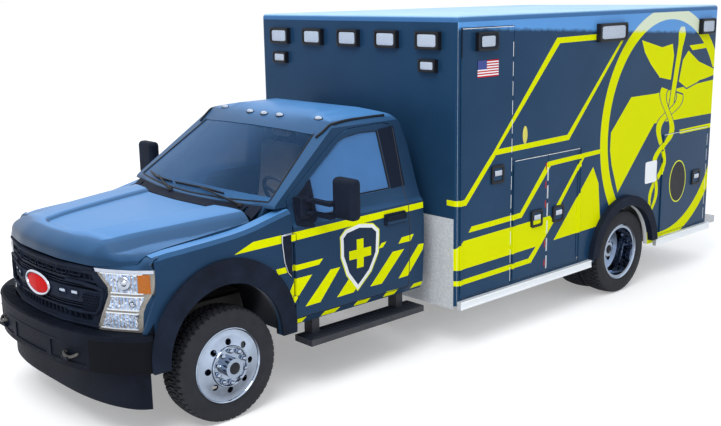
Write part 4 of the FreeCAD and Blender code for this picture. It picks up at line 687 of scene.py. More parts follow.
def hatchFinish(name, dark, light, roughness, metallic, pitch):
    # fine embossed lines that cross at a slant
    material, shader, place = newFinish(name)
    parts = partsOf(place)
    rate = 2 * math.pi / pitch
    flat = plus(parts[0], parts[1])
    first = reckon("SINE", times(plus(flat, parts[2]), rate))
    second = reckon("SINE", times(minus(flat, parts[2]), rate))
    lines = spread(highest(first, second), 0.2, 1.0, 0, 1)
    wander = spread(noiseOf(place, 45, 3, 0.6), 0.25, 0.75, -0.35, 0.35)
    tone = mixColour(plus(lines, wander), dark, light)
    setShader(shader, colour=tone)
    addBump(shader, lines, 0.0008, 0.7)
    setShader(shader, roughness=roughness, metallic=metallic, specular=0.3)
    return material


def reflectorFinish():
    # pressed reflector: its bright facets and the blue and warm patches between them are painted reflections
    material, shader, place = newFinish("reflectorSilver")
    tree = shader.id_data
    cells = addNode(tree, "ShaderNodeTexVoronoi", {"Vector": place, "Scale": 75.0})
    streak = addNode(tree, "ShaderNodeTexWave", {"Vector": place, "Scale": 16.0, "Distortion": 3.0,
                                                 "Detail": 2.0}, bands_direction="X").outputs["Fac"]
    shade = addNode(tree, "ShaderNodeSeparateColor", {0: cells.outputs["Color"]})
    tone = mixColour(shade.outputs[0], (0.16, 0.20, 0.28), (0.82, 0.88, 0.98))
    tone = mixColour(spread(shade.outputs[1], 0.72, 0.80, 0, 1), tone, (0.30, 0.24, 0.19))
    tone = mixColour(spread(streak, 0.55, 0.75, 0, 0.7), tone, (0.30, 0.48, 0.80))
    setShader(shader, colour=tone)
    addBump(shader, cells.outputs["Distance"], 0.004, 0.8)
    setShader(shader, roughness=0.22, metallic=0.35)
    return material


def chequerFinish(name, dark, light, roughness, metallic, pitch=0.034, depth=0.0012):
    # raised lozenges in two directions, like rolled tread plate
    material, shader, place = newFinish(name)
    parts = partsOf(place)
    u = plus(parts[0], times(parts[1], 0.7))
    v = plus(parts[2], times(parts[1], 0.7))
    rate = 2 * math.pi / pitch
    first = reckon("SINE", times(plus(u, v), rate))
    second = reckon("SINE", times(minus(u, v), rate))
    lozenge = spread(times(first, second), 0.25, 0.75, 0, 1)
    broad = noiseOf(place, 7, 4, 0.6)
    tone = mixColour(lozenge, dark, light)
    setShader(shader, colour=tone, roughness=spread(broad, 0.3, 0.7, roughness * 0.8, roughness * 1.25))
    addBump(shader, lozenge, depth)
    setShader(shader, metallic=metallic)
    return material


def rubberFinish():
    material, shader, place = newFinish("tyreRubber")
    fine = noiseOf(place, 600, 2, 0.6)
    dust = noiseOf(place, 9, 4, 0.6)
    tone = mixColour(spread(dust, 0.35, 0.75, 0, 1), (0.0075, 0.009, 0.0135), (0.016, 0.018, 0.025))
    setShader(shader, colour=tone, roughness=spread(fine, 0.3, 0.7, 0.62, 0.85))
    addBump(shader, fine, 0.0006, 0.6)
    setShader(shader, specular=0.35)
    return material


def glassFinish(name, tint, alphaLow, alphaHigh, lean=0.0, specular=0.25):
    # tinted pane: clear head on and nearly closed at a grazing look; lean closes it towards one side, a painted
    # reflection that shows more of the pale tint there
    material, shader, place = newFinish(name)
    tree = shader.id_data
    streak = noiseOf(place, 3.0, 3, 0.5)
    tone = mixColour(streak, tint, tuple(min(1, c * 1.35 + 0.004) for c in tint))
    setShader(shader, colour=tone)
    graze = addNode(tree, "ShaderNodeLayerWeight", {"Blend": 0.5}).outputs["Facing"]
    alpha = spread(graze, 0.45, 0.98, alphaLow, alphaHigh)
    if lean:
        x = partsOf(place)[0]
        alpha = plus(alpha, spread(x, -0.75, 0.30, lean, 0.0))
    setShader(shader, alpha=alpha)
    setShader(shader, roughness=0.03, specular=specular, ior=1.5)
    return material


def chromeFinish(name, dark, light, roughness=0.07):
    # painted sky reflection: the upper sides of a form are bright and blue, its undersides dark, as under an
    # open sky
    material, shader, place = newFinish(name)
    tree = shader.id_data
    swirl = noiseOf(place, 11, 4, 0.6)
    normal = addNode(tree, "ShaderNodeNewGeometry").outputs["Normal"]
    z = partsOf(normal)[2]
    z = plus(z, spread(swirl, 0, 1, -0.12, 0.12))
    tone = mixColour(spread(z, -0.35, 0.30, 0, 1), dark, light)
    setShader(shader, colour=tone, roughness=spread(noiseOf(place, 240, 2, 0.6), 0.2, 0.8, roughness * 0.7,
                                                    roughness * 1.8))
    addBump(shader, swirl, 0.0012, 0.12)
    setShader(shader, metallic=1.0)
    return material


def lensFinish(name, tint, deep, glow=0.0, pitch=0.012, alpha=1.0):
    # moulded lens: a fine grid of little prisms over a bright reflector
    material, shader, place = newFinish(name)
    parts = partsOf(place)
    rate = 2 * math.pi / pitch
    across = plus(parts[0], parts[1])
    waves = times(reckon("SINE", times(across, rate)), reckon("SINE", times(parts[2], rate)))
    bright = spread(waves, -0.6, 0.8, 0, 1)
    tone = mixColour(bright, deep, tint)
    setShader(shader, colour=tone, glowColour=tone)
    addBump(shader, waves, 0.0012, 0.6)
    setShader(shader, roughness=0.15, specular=0.2, glow=glow, alpha=alpha)
    return material


def clothFinish():
    # over-and-under weave from two crossed waves, with a slight sheen
    material, shader, place = newFinish("seatCloth")
    parts = partsOf(place)
    rate = 2 * math.pi / 0.0045
    warp = reckon("SINE", times(parts[0], rate))
    weft = reckon("SINE", times(plus(parts[1], parts[2]), rate))
    weave = times(warp, weft)
    broad = noiseOf(place, 14, 4, 0.6)
    tone = mixColour(spread(weave, -1, 1, 0, 1), (0.34, 0.33, 0.32), (0.54, 0.53, 0.52))
    tone = mixColour(spread(broad, 0.35, 0.7, 0.0, 0.35), tone, (0.28, 0.28, 0.29))
    setShader(shader, colour=tone)
    addBump(shader, weave, 0.0006, 0.7)
    setShader(shader, roughness=0.9, sheen=0.3, sheenRough=0.5)
    return material


def roofFinish():
    # painted sky reflection: upright edges are deep blue and the level sheet pale blue, with broad soft patches
    material, shader, place = newFinish("roofPaint")
    tree = shader.id_data
    normal = addNode(tree, "ShaderNodeTexCoord").outputs["Normal"]
    level = partsOf(normal)[2]
    patch = spread(noiseOf(place, 2.2, 4, 0.6), 0.3, 0.7, 0, 1)
    top = mixColour(patch, (0.30, 0.54, 0.78), (0.42, 0.66, 0.86))
    tone = mixColour(spread(level, 0.45, 0.85, 0, 1), (0.045, 0.150, 0.350), top)
    setShader(shader, colour=tone)
    addBump(shader, noiseOf(place, 60, 2, 0.6), 0.0003, 0.4)
    setShader(shader, roughness=0.42, specular=0.15)
    return material


moduleLiveryTree, cabLiveryTree = buildModuleLivery(), buildCabLivery()
cabPaint, hoodPaint, modulePaint = cabFinish("cabPaint", True), cabFinish("hoodPaint", False), moduleFinish()
plasticDark = speckledFinish("texturedPlastic", (0.0070, 0.0095, 0.0165), (0.0125, 0.018, 0.034),
                             (0.030, 0.062, 0.150))
bumperPlastic = speckledFinish("bumperPlastic", (0.0045, 0.0058, 0.0098), (0.0085, 0.0115, 0.0200),
                               (0.018, 0.036, 0.085), corner=0.655)
gripPlastic = chequerFinish("stepPlastic", (0.007, 0.009, 0.016), (0.022, 0.030, 0.052), 0.5, 0.0, 0.030)
trimBlack = grainedFinish("trimBlack", (0.0055, 0.0065, 0.0095), (0.0115, 0.0130, 0.0185), 0.42, grain=900,
                          depth=0.0002, specular=0.2)
frameBlack = grainedFinish("frameBlack", (0.010, 0.011, 0.013), (0.028, 0.027, 0.026), 0.55, grain=220,
                           depth=0.0006)
castMetal = grainedFinish("castMetal", (0.055, 0.055, 0.058), (0.13, 0.125, 0.12), 0.52, 0.75, 160, 0.0012)
rubber = rubberFinish()
chrome = chromeFinish("wheelChrome", (0.060, 0.062, 0.072), (0.46, 0.55, 0.70))
chromeTrim = chromeFinish("brightTrim", (0.12, 0.125, 0.14), (0.70, 0.76, 0.88), 0.10)
brightSheet = chequerFinish("treadPlate", (0.42, 0.44, 0.47), (0.68, 0.70, 0.74), 0.36, 0.25)
guardSheet = hatchFinish("guardSheet", (0.42, 0.45, 0.49), (0.82, 0.85, 0.89), 0.42, 0.05, 0.011)
railWhite = grainedFinish("railWhite", (0.84, 0.88, 0.93), (0.89, 0.92, 0.96), 0.42, grain=260, depth=0.0003,
                          patch=3, specular=0.2)
roofPaint = roofFinish()
exhaustSteel = grainedFinish("exhaustSteel", (0.20, 0.17, 0.15), (0.40, 0.36, 0.33), 0.42, 0.9, 130, 0.0006, 9)
cabinPlastic = grainedFinish("cabinPlastic", (0.016, 0.020, 0.030), (0.034, 0.040, 0.055), 0.62, grain=480,
                             depth=0.0006)
interiorWhite = grainedFinish("interiorWhite", (0.66, 0.68, 0.70), (0.78, 0.80, 0.81), 0.45, grain=200,
                              depth=0.0002)
benchVinyl = grainedFinish("benchVinyl", (0.020, 0.045, 0.105), (0.035, 0.070, 0.150), 0.45, grain=420,
                           depth=0.0007)
lockerSheet = grainedFinish("lockerSheet", (0.42, 0.43, 0.45), (0.56, 0.57, 0.59), 0.40, 0.85, 200, 0.0003)
# the windscreen's lean and the side glass's lighter blue tint are painted sky reflection
windscreenGlass = glassFinish("windscreenGlass", (0.024, 0.082, 0.190), 0.15, 0.85, 0.50, 0.10)
sideGlass = glassFinish("sideGlass", (0.058, 0.185, 0.430), 0.66, 1.0)
privacyGlass = glassFinish("privacyGlass", (0.010, 0.022, 0.040), 0.80, 1.0)
clearLens = glassFinish("clearLens", (0.20, 0.24, 0.30), 0.02, 0.40)
lampWhite = lensFinish("lampWhite", (0.80, 0.86, 0.96), (0.16, 0.23, 0.34), 0.05)
lampRed = lensFinish("lampRed", (0.75, 0.02, 0.015), (0.20, 0.003, 0.003), 0.05)
lampAmber = lensFinish("lampAmber", (0.78, 0.24, 0.006), (0.20, 0.035, 0.001), 0.0, 0.020)
lampPale = lensFinish("lampPale", (0.80, 0.74, 0.16), (0.55, 0.50, 0.08), 0.0, 0.020)
mirrorGlass = chromeFinish("mirrorGlass", (0.45, 0.48, 0.54), (0.66, 0.70, 0.78), 0.02)
signalRed = grainedFinish("signalRed", (0.50, 0.003, 0.004), (0.60, 0.006, 0.007), 0.40, grain=300,
                          depth=0.0001, specular=0.04)
signalBlue = grainedFinish("signalBlue", (0.012, 0.030, 0.20), (0.018, 0.040, 0.26), 0.35, grain=300,
                           depth=0.0001)
lampBronze = grainedFinish("lampBronze", (0.20, 0.185, 0.165), (0.30, 0.28, 0.25), 0.38, 0.25, 300, 0.0002, 18)
reflectorSilver = reflectorFinish()
seatCloth = clothFinish()
print("finishes ready")

# CAD nodes: curved ones get a smooth skin, plain ones keep their mesh and take a finish

skins = [
    # finish, angle below which edges are smooth, nodes
    (cabPaint, 28, "cab_shell cab_door_left cab_door_right front_fenders"), (plasticDark, 30, "wheel_flares"),
    (bumperPlastic, 30, "front_bumper"), (plasticDark, 30, "grille cowl_panel"),
    (plasticDark, 40, "mirror_left mirror_right"), (cabinPlastic, 30, "dashboard"),
    (windscreenGlass, 40, "cab_glass"), (sideGlass, 40, "cab_door_glass_left cab_door_glass_right"),
    (modulePaint, 30, "module_left_wall module_right_wall"), (roofPaint, 30, "module_roof"),
    (chrome, 30, "front_rim_left front_rim_right rear_rims_left rear_rims_right"),
    (exhaustSteel, 30, "exhaust"), (castMetal, 30, "axles"), (lockerSheet, 30, "fuel_tank"),
]
plain = [
    (frameBlack, "chassis_frame"), (castMetal, "engine_block knuckle_left knuckle_right"),
    (modulePaint, "entry_door rear_door_left rear_door_right front_locker_door_left front_locker_door_right "
                  "mid_locker_door_front mid_locker_door_rear rear_locker_door_left rear_locker_door_right "
                  "module_end_walls"),
    (privacyGlass, "entry_door_glass rear_door_glass_left rear_door_glass_right"),
    (cabinPlastic, "module_floor seat_bases"), (lockerSheet, "lockers_left lockers_right"),
    (interiorWhite, "patient_cabinets"), (brightSheet, "rear_step"), (guardSheet, "rub_rails"),
    (gripPlastic, "running_boards"), (trimBlack, "warning_lights"),
]
for finish, angle, names in skins:
    for node in names.split():
        smoothCopy(node, finish, angle)
for finish, names in plain:
    for node in names.split():
        paintNode(node, finish)
print("skins and finishes on the CAD nodes")

# Tyres

tyre = {"beadRadius": 0.250, "beadHalf": 0.084, "sideHalf": 0.1145, "sideRadius": 0.318, "treadRadius": 0.400,
        "pitches": 52, "steps": 8, "grooveDepth": 0.0105, "trackFront": 0.880, "trackRear": 0.955,
        "dual": 0.130}


def tyreShape(centreX, centreY, side):
    # section: quarter ellipse from the bead to the widest point, then a squared arc over the tread;
    # the tread line drops by the groove depth between blocks that shift from row to row
    psi = np.linspace(math.pi / 2, 0, 8)
    lowX = tyre["beadHalf"] + (tyre["sideHalf"] - tyre["beadHalf"]) * np.cos(psi)
    lowR = tyre["sideRadius"] - (tyre["sideRadius"] - tyre["beadRadius"]) * np.sin(psi)
    rise = tyre["treadRadius"] - tyre["sideRadius"]
    upX = np.array([0.1142, 0.1130, 0.1115, 0.1095, 0.1060, 0.1010])
    upR = tyre["sideRadius"] + rise * np.array([0.18, 0.38, 0.52, 0.64, 0.78, 0.88])
    treadX = np.array([0.0945, 0.0880, 0.0700, 0.0675, 0.0615, 0.0590, 0.0380, 0.0355, 0.0295, 0.0270, 0.0060])
    treadR = tyre["treadRadius"] - 0.9 * treadX ** 2
    halfX = np.concatenate([lowX, upX, treadX])
    halfR = np.concatenate([lowR, upR, treadR])
    # three fine ribs run round each sidewall
    for ribRadius in (0.272, 0.300, 0.345):
        halfX = halfX + 0.0016 * np.exp(-((halfR - ribRadius) / 0.005) ** 2)
    x = np.concatenate([halfX, -halfX[::-1]])
    r = np.concatenate([halfR, halfR[::-1]])
    steps = tyre["pitches"] * tyre["steps"]
    turn = np.arange(steps) * 2 * math.pi / steps
    row = np.digitize(x, [-0.0645, -0.0325, 0.0325, 0.0645])
    shift = np.array([0, 3, 6, 3, 0])[row]
    phase = (np.arange(steps)[:, None] + shift[None]) % tyre["steps"]
    onTread = (r > 0.384)[None]
    cross = (phase < 2) & onTread
    ringGroove = (np.abs(np.abs(x) - 0.0645) < 0.0035) | (np.abs(np.abs(x) - 0.0325) < 0.0035)
    drop = np.where(cross | (ringGroove[None] & onTread), tyre["grooveDepth"], 0.0)
    # thin cuts across the middle of each block
    drop = np.where((phase == 5) & onTread & (np.abs(x) < 0.0610)[None], 0.005, drop)
    radius = r[None] - drop
    points = np.stack([np.broadcast_to(x[None] * side, radius.shape), np.cos(turn)[:, None] * radius,
                       np.sin(turn)[:, None] * radius], -1).reshape(-1, 3)
    return points + (centreX, centreY, wheelHeight), gridFaces(steps, len(x), True, True)


for name, side in sides:
    front = makePiece("frontTyre" + name.title(), tyreShape(side * tyre["trackFront"], frontAxle, side), rubber,
                      24, body="front_wheel_" + name)
    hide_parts("front_tyre_" + name)
    pair = makePiece("rearTyres" + name.title(),
                     merged([tyreShape(side * (tyre["trackRear"] + shift), rearAxle, side)
                             for shift in (-tyre["dual"], tyre["dual"])]), rubber, 24, body="rear_wheels_"
                     + name)
    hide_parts("rear_tyres_" + name)
print("tyres made")

# Wheel fittings: nuts with domed ends, a rolled hub ring and a dark centre cap

wheelTrim = {"nuts": 10, "nutCircle": 0.112, "nutRadius": 0.0165, "nutOut": 0.034}


def nutShape(centre, side, radius, height):
    # six flats that close over a small dome
    turn = np.linspace(0, 2 * math.pi, 6, endpoint=False)
    rings = [(0.0, 1.25), (0.003, 1.25), (0.004, 1.0), (height * 0.72, 1.0), (height * 0.9, 0.72),
             (height, 0.30)]
    points = np.array([[side * h, math.cos(t) * radius * s, math.sin(t) * radius * s] for h,
                       s in rings for t in turn])
    faces = gridFaces(len(rings), 6, False, True)
    return points + centre, faces + [list(range(30, 36))]


def wheelDress(name, side, centreX, centreY, body, faceOut, hubEnd):
    face = centreX + side * faceOut
    turns = np.arange(wheelTrim["nuts"]) * 2 * math.pi / wheelTrim["nuts"] + 0.31416
    nuts = merged([nutShape((face + side * 0.004, centreY + wheelTrim["nutCircle"] * math.cos(t),
                             wheelHeight + wheelTrim["nutCircle"] * math.sin(t)), side,
                            wheelTrim["nutRadius"], wheelTrim["nutOut"]) for t in turns])
    makePiece(name + "Nuts", nuts, chrome, 25, body=body)
    ring = [(0.0, 0.146), (0.008, 0.1455), (0.013, 0.141), (0.013, 0.136), (0.008, 0.131), (0.0, 0.1305)]
    rim = [(0.0, 0.246), (0.012, 0.252), (0.018, 0.259), (0.014, 0.264), (0.004, 0.265), (-0.004, 0.262),
           (-0.006, 0.250)]
    lip = side * (0.084 + 0.006 + 0.002)
    outer = centreX + (side * tyre["dual"] if "rear" in name else 0)
    shapes = [lathe(np.array(ring) * (side, 1), (face, centreY, wheelHeight), "x", 64),
              lathe(np.array(rim) * (side, 1), (outer + lip, centreY, wheelHeight), "x", 96)]
    makePiece(name + "Rings", merged(shapes), chrome, 40, body=body)
    capAt = centreX + side * hubEnd
    cap = [(0.0, 0.001), (0.010, 0.001), (0.009, 0.018), (0.006, 0.034), (0.0, 0.042), (-0.006, 0.044),
           (-0.006, 0.001)]
    makePiece(name + "Cap", lathe(np.array(cap) * (side, 1), (capAt, centreY, wheelHeight), "x", 40), trimBlack,
              body=body)


for name, side in sides:
    wheelDress("frontWheel" + name.title(), side, side * tyre["trackFront"], frontAxle, "front_wheel_" + name,
               0.118, 0.176)
    wheelDress("rearWheel" + name.title(), side, side * tyre["trackRear"], rearAxle, "rear_wheels_" + name,
               0.014, 0.112)
print("wheel fittings made")

# Lamps on the module

lampRow = (-0.916, -0.458, 0, 0.458, 0.916)
moduleLamps = {
    # name: (face the lamp looks along, centre, width, height, lens)
    "frontLamps": [("y", -1, (x, aft(2007), 2.475), 0.249, 0.139, "white") for x in lampRow],
    "frontLowLamps": [("y", -1, (x, aft(2007), 2.283), 0.180, 0.100, "white") for x in (-0.916, 0.916)],
    "sceneLamps": [("x", s, (s * 1.2445, aft(4060.5), 2.466), 0.431, 0.158, "white") for s in (-1, 1)],
    "sideRearLamps": [("x", s, (s * 1.2445, aft(5719), 2.460), 0.262, 0.150, "white") for s in (-1, 1)],
    "rearLamps": [("y", 1, (x, aft(5998), 2.5245), 0.249, 0.139, "red") for x in lampRow],
    "tailLamps": [("y", 1, (s * 0.830, aft(5990), z), 0.140, 0.120, lens)
                  for s in (-1, 1) for z, lens in ((1.24, "white"), (1.39, "amber"), (1.54, "red"))],
}
lenses = {"white": lampWhite, "red": lampRed, "amber": lampAmber}


def facePoints(axis, sign, centre, across, up, out):
    # points given across, up and out from a face that looks along an axis
    points = np.zeros((len(across), 3))
    if axis == "x":
        points[:, 0], points[:, 1] = centre[0] + sign * out, centre[1] + across
    else:
        points[:, 1], points[:, 0] = centre[1] + sign * out, centre[0] + across
    points[:, 2] = centre[2] + up
    return points


def bezelShape(axis, sign, centre, width, height, border=0.016, proud=0.006, depth=0.004, power=9.0):
    # a squared frame: outer edge, rounded front, inner edge
    loops = []
    for shrink, out in ((0, -depth), (0, proud * 0.6), (0.003, proud), (border - 0.003, proud),
                        (border, proud * 0.3), (border, -depth)):
        line = outlineEllipse((0, 0), (width / 2 - shrink, height / 2 - shrink), 48, power)
        loops.append(facePoints(axis, sign, centre, line[:, 0], line[:, 1], np.full(len(line), out)))
    return np.concatenate(loops), gridFaces(len(loops), 48, True, True)


def lensShape(axis, sign, centre, width, height, crown=0.006, power=9.0):
    # rings that shrink to the middle over a low crown
    shares = np.linspace(1, 0.02, 8)
    loops = []
    for share in shares:
        line = outlineEllipse((0, 0), (width / 2 * share, height / 2 * share), 48, power)
        loops.append(facePoints(axis, sign, centre, line[:, 0], line[:, 1],
                                np.full(len(line), crown * (1 - share ** 4) - 0.002)))
    faces = gridFaces(len(shares), 48, False, True)
    last = (len(shares) - 1) * 48
    return np.concatenate(loops), faces + [list(range(last, last + 48))]


for name, lamps in moduleLamps.items():
    makePiece(name + "Bezels", merged([bezelShape(a, s, c, w, h) for a, s, c, w, h, lens in lamps]), trimBlack)
    for tint in sorted({lamp[5] for lamp in lamps}):
        shapes = [lensShape(a, s, c, w - 0.034, h - 0.034) for a, s, c, w, h, lens in lamps if lens == tint]
        makePiece(name + tint.title(), merged(shapes), lenses[tint], 40)
for name, side in sides:
    # the front side light sits on the tall locker door and turns with it
    centre = (side * 1.2425, aft(2361), 2.4635)
    body = "front_locker_door_" + name
    makePiece("doorLightBezel" + name.title(), bezelShape("x", side, centre, 0.242, 0.141), trimBlack,
              body=body)
    makePiece("doorLightLens" + name.title(), lensShape("x", side, centre, 0.208, 0.107), lampWhite, 40,
              body=body)
print("module lamps made")

# Door latches: black plate, dished, with a bright paddle

latches = [("front_locker_door_left", 1, 2527, 1.398), ("mid_locker_door_front", 1, 3050, 0.948),
           ("mid_locker_door_rear", 1, 3352, 0.942), ("rear_locker_door_left", 1, 5678, 0.946),
           ("front_locker_door_right", -1, 2527, 1.398), ("rear_locker_door_right", -1, 5678, 0.900),
           ("entry_door", -1, 3420, 1.300)]
latchForm = {
    # plate: width, height, border, proud, depth; pan: width, height, crown; paddle: half width, levels, out
    "plate": (0.156, 0.150, 0.024, 0.007, 0.010), "pan": (0.112, 0.106, -0.004),
    "paddleHalf": 0.043, "paddleLevels": (-0.012, 0.032), "paddleOut": (0.001, 0.009), "paddleRadius": 0.0035,
}


def latchCentre(node, side, at, level):
    # the latch block's own middle, read from the node's points that stand proud of the skin
    points = placesOf(nodes[node].data.vertices)
    proud = points[np.abs(points[:, 0]) > 1.2145]
    near = proud[np.abs(proud[:, 2] - level) < 0.12]
    near = near[np.abs(near[:, 1] - aft(at)) < 0.25]
    if not len(near):
        return side * 1.2155, aft(at), level
    low, high = near.min(0), near.max(0)
    return side * float(np.abs(near[:, 0]).max()), float(low[1] + high[1]) / 2, float(low[2] + high[2]) / 2


for node, side, at, level in latches:
    centre = latchCentre(node, side, at, level)
    stem = node.title().replace("_", "")
    plate = bezelShape("x", side, centre, *latchForm["plate"])
    pan = lensShape("x", side, centre, *latchForm["pan"])
    makePiece("latch" + stem, merged([plate, pan]), trimBlack, body=node)
    xs = sorted(centre[0] + side * out for out in latchForm["paddleOut"])
    low, high = [(x, centre[1] + sign * latchForm["paddleHalf"], centre[2] + level)
                 for x, sign, level in zip(xs, (-1, 1), latchForm["paddleLevels"])]
    makePiece("paddle" + stem, roundedBlock(low, high, latchForm["paddleRadius"]), chromeTrim, 40, body=node)
print("latches made")

# Rub rail facing and bright door edges

rail = {"low": 0.362, "high": 0.430, "out": 1.2405}
railShapes = []
for side in (1, -1):
    for start, end in ((2055, 3835), (4925, 5960)):
        # an extruded section: flat face with two shallow beads
        section = np.array([(0.0, 0.0), (0.006, 0.003), (0.0075, 0.012), (0.004, 0.016), (0.004, 0.052),
                            (0.0075, 0.056), (0.006, 0.065), (0.0, 0.068), (-0.004, 0.068), (-0.004, 0.0)])
        ys = aft([start, end])
        points = np.zeros((2, len(section), 3))
        points[..., 0] = side * (rail["out"] + section[None, :, 0])
        points[..., 1] = ys[:, None]
        points[..., 2] = rail["low"] + section[None, :, 1]
        count = len(section)
        faces = gridFaces(2, count, False, True) + [list(range(count)), list(range(count, 2 * count))[::-1]]
        railShapes.append((points.reshape(-1, 3), faces))
makePiece("rubRailFace", merged(railShapes), railWhite, 40)
doorEdges = {
    # door node: (side, front and rear edge behind the front axle, lower and upper edge)
    "front_locker_door_left": (1, 2091, 2711, 0.447, 2.567),
    "mid_locker_door_front": (1, 2743, 3199, 0.456, 1.477),
    "mid_locker_door_rear": (1, 3205, 3661, 0.456, 1.477),
    "rear_locker_door_left": (1, 5036, 5884, 0.456, 1.444),
    "front_locker_door_right": (-1, 2091, 2711, 0.447, 2.567),
    "rear_locker_door_right": (-1, 5036, 5884, 0.456, 1.284),
    "entry_door": (-1, 2766, 3554, 0.436, 2.424),
}


def edgeStrip(side, y0, y1, z0, z1):
    xs = sorted((side * moduleSide, side * (moduleSide + 0.0012)))
    corners = np.array([(x, y, z) for x in xs for y in (y0, y1) for z in (z0, z1)])
    return corners, [[0, 1, 3, 2], [4, 6, 7, 5], [0, 4, 5, 1], [2, 3, 7, 6], [0, 2, 6, 4], [1, 5, 7, 3]]


for node, (side, first, last, low, high) in doorEdges.items():
    y0, y1, width = aft(first), aft(last), 0.0045
    strips = [edgeStrip(side, y0, y1, high - width, high)]
    for y in (y0, y1 - width):
        cuts = np.arange(low + 0.02, high - 0.12, 0.155)
        strips += [edgeStrip(side, y, y + width, float(z), float(z) + 0.115) for z in cuts]
    makePiece("edge" + node.title().replace("_", ""), merged(strips), railWhite, None, body=node)
print("rails and door edges made")

# Signs, all blank, and small markers

signs = {"placard": ((4732, 4934), (1.002, 1.213)), "oval": (5336, 0.948), "field": (0.142, 0.200),
         "rim": (0.154, 0.212)}
(y0, y1), (z0, z1) = signs["placard"]
placard = outlineEllipse(((aft(y0) + aft(y1)) / 2, (z0 + z1) / 2), ((y1 - y0) / 2000, (z1 - z0) / 2), 40, 12)
ovalCentre = (aft(signs["oval"][0]), signs["oval"][1])
disc, rim = (outlineEllipse(ovalCentre, signs[key], 56) for key in ("field", "rim"))
yellowFilm = grainedFinish("yellowFilm", (0.70, 0.77, 0.0), (0.76, 0.83, 0.01), 0.4, grain=300, depth=0.0001)
for name, side in sides:
    plate = slabOf(placard, 0, side * (moduleSide - 0.002), side * (moduleSide + 0.0018))
    makePiece("placard" + name.title(), plate, railWhite)
for name, side in sides:
    for label, line, proud, finish in (("ovalRim", rim, 0.0012, yellowFilm),
                                       ("ovalField", disc, 0.0020, trimBlack)):
        plate = slabOf(line, 0, side * (moduleSide - 0.002), side * (moduleSide + proud))
        makePiece(label + name.title(), plate, finish, body="rear_locker_door_" + name)
makePiece("sideMarker", lensShape("x", 1, (1.2085, aft(2879), 1.678), 0.062, 0.150, 0.010, 2.0), lampPale, 40)
# a plain striped badge on the tall locker door: seven red bars, six white, one blue field
panel = {"low": (-0.348, 2.187), "high": (-0.098, 2.317), "proud": 1.2092}
(y0, z0), (y1, z1) = panel["low"], panel["high"]
bars = np.linspace(z0, z1, 14)
for tint, finish, chosen in (("Red", signalRed, range(0, 13, 2)), ("White", railWhite, range(1, 13, 2))):
    shapes = [slabOf([(y0, bars[k]), (y1, bars[k]), (y1, bars[k + 1]), (y0, bars[k + 1])], 0, 1.2062,
                     panel["proud"]) for k in chosen]
    makePiece("stripes" + tint, merged(shapes), finish, body="front_locker_door_left")
middle = bars[6]
makePiece("stripesField",
          slabOf([(y0, middle), ((y0 + y1 * 0.75) / 1.75, middle), ((y0 + y1 * 0.75) / 1.75, z1), (y0, z1)], 0,
                 1.2063, panel["proud"] + 0.0004), signalBlue, body="front_locker_door_left")
reflectors = [roundedBlock((1.2055, aft(y) - 0.006, z - 0.030), (1.2090, aft(y) + 0.006, z + 0.030), 0.0015)
              for y, z in ((3175, 1.22), (3175, 1.05), (3175, 0.70), (3175, 0.53), (3175, 1.38))]
makePiece("redMarks", merged(reflectors), lampRed, body="mid_locker_door_front")
print("signs and markers made")

# Front plan curves: how far the grille, bumper and dam bow forward, as (x, behind the front axle) in mm
plans = {"grille": ((0, -842), (300, -825), (618, -738), (720, -690), (860, -600), (960, -500)),
         "bumper": ((0, -940), (160, -936), (320, -924), (485, -893), (649, -848), (730, -811), (800, -768),
                    (860, -722), (910, -676), (960, -612), (980, -562)),
         "dam": ((0, -800), (400, -790), (640, -752), (800, -700), (910, -632), (950, -575)), }


def planAt(name, x):
    table = np.array(plans[name], float) / 1000
    return frontAxle + np.interp(np.abs(x), table[:, 0], table[:, 1])


def planTurn(name, x, step=0.02):
    # angle of the plan curve at x, in the ground plane
    return np.arctan2(planAt(name, x + step) - planAt(name, x - step), 2 * step)


def onPlan(shape, name, x, z, out=0.0):
    # a shape made round the origin (across, out towards -y, up) set square to the plan curve
    points, faces = shape
    points = np.asarray(points, float)
    turn = float(planTurn(name, x))
    c, s = math.cos(turn), math.sin(turn)
    across, front = points[:, 0], points[:, 1] - out
    placed = np.stack([x + across * c - front * s, float(planAt(name, x)) + across * s + front * c,
                       z + points[:, 2]], -1)
    return placed, faces


def plateOnPlan(name, levels, inner, outer, front, depth=0.012, columns=14, side=1):
    # a closed plate between two upright edge lines, given as x at each level, bent to the plan curve
    levels, inner, outer = (np.asarray(v, float) for v in (levels, inner, outer))
    share = np.linspace(0, 1, columns)[None]
    x = inner[:, None] + (outer - inner)[:, None] * share
    z = np.broadcast_to(levels[:, None], x.shape)
    y = planAt(name, x) - front
    return closedSheet(np.stack([x * side, y, z], -1), np.stack([x * side, y + depth, z], -1))


def barOnPlan(name, x0, x1, z0, z1, front, depth, columns=24):
    levels = np.array([z0, z0 + (z1 - z0) * 0.1, z1 - (z1 - z0) * 0.1, z1])
    return plateOnPlan(name, levels, [x0] * 4, [x1] * 4, front, depth, columns)


def tubeOnPlan(name, x0, x1, z, radius, out=0.0, count=50, sides=8):
    x = np.linspace(x0, x1, count)
    return tube(np.stack([x, planAt(name, x) - out, np.full(count, z)], -1), radius, sides)


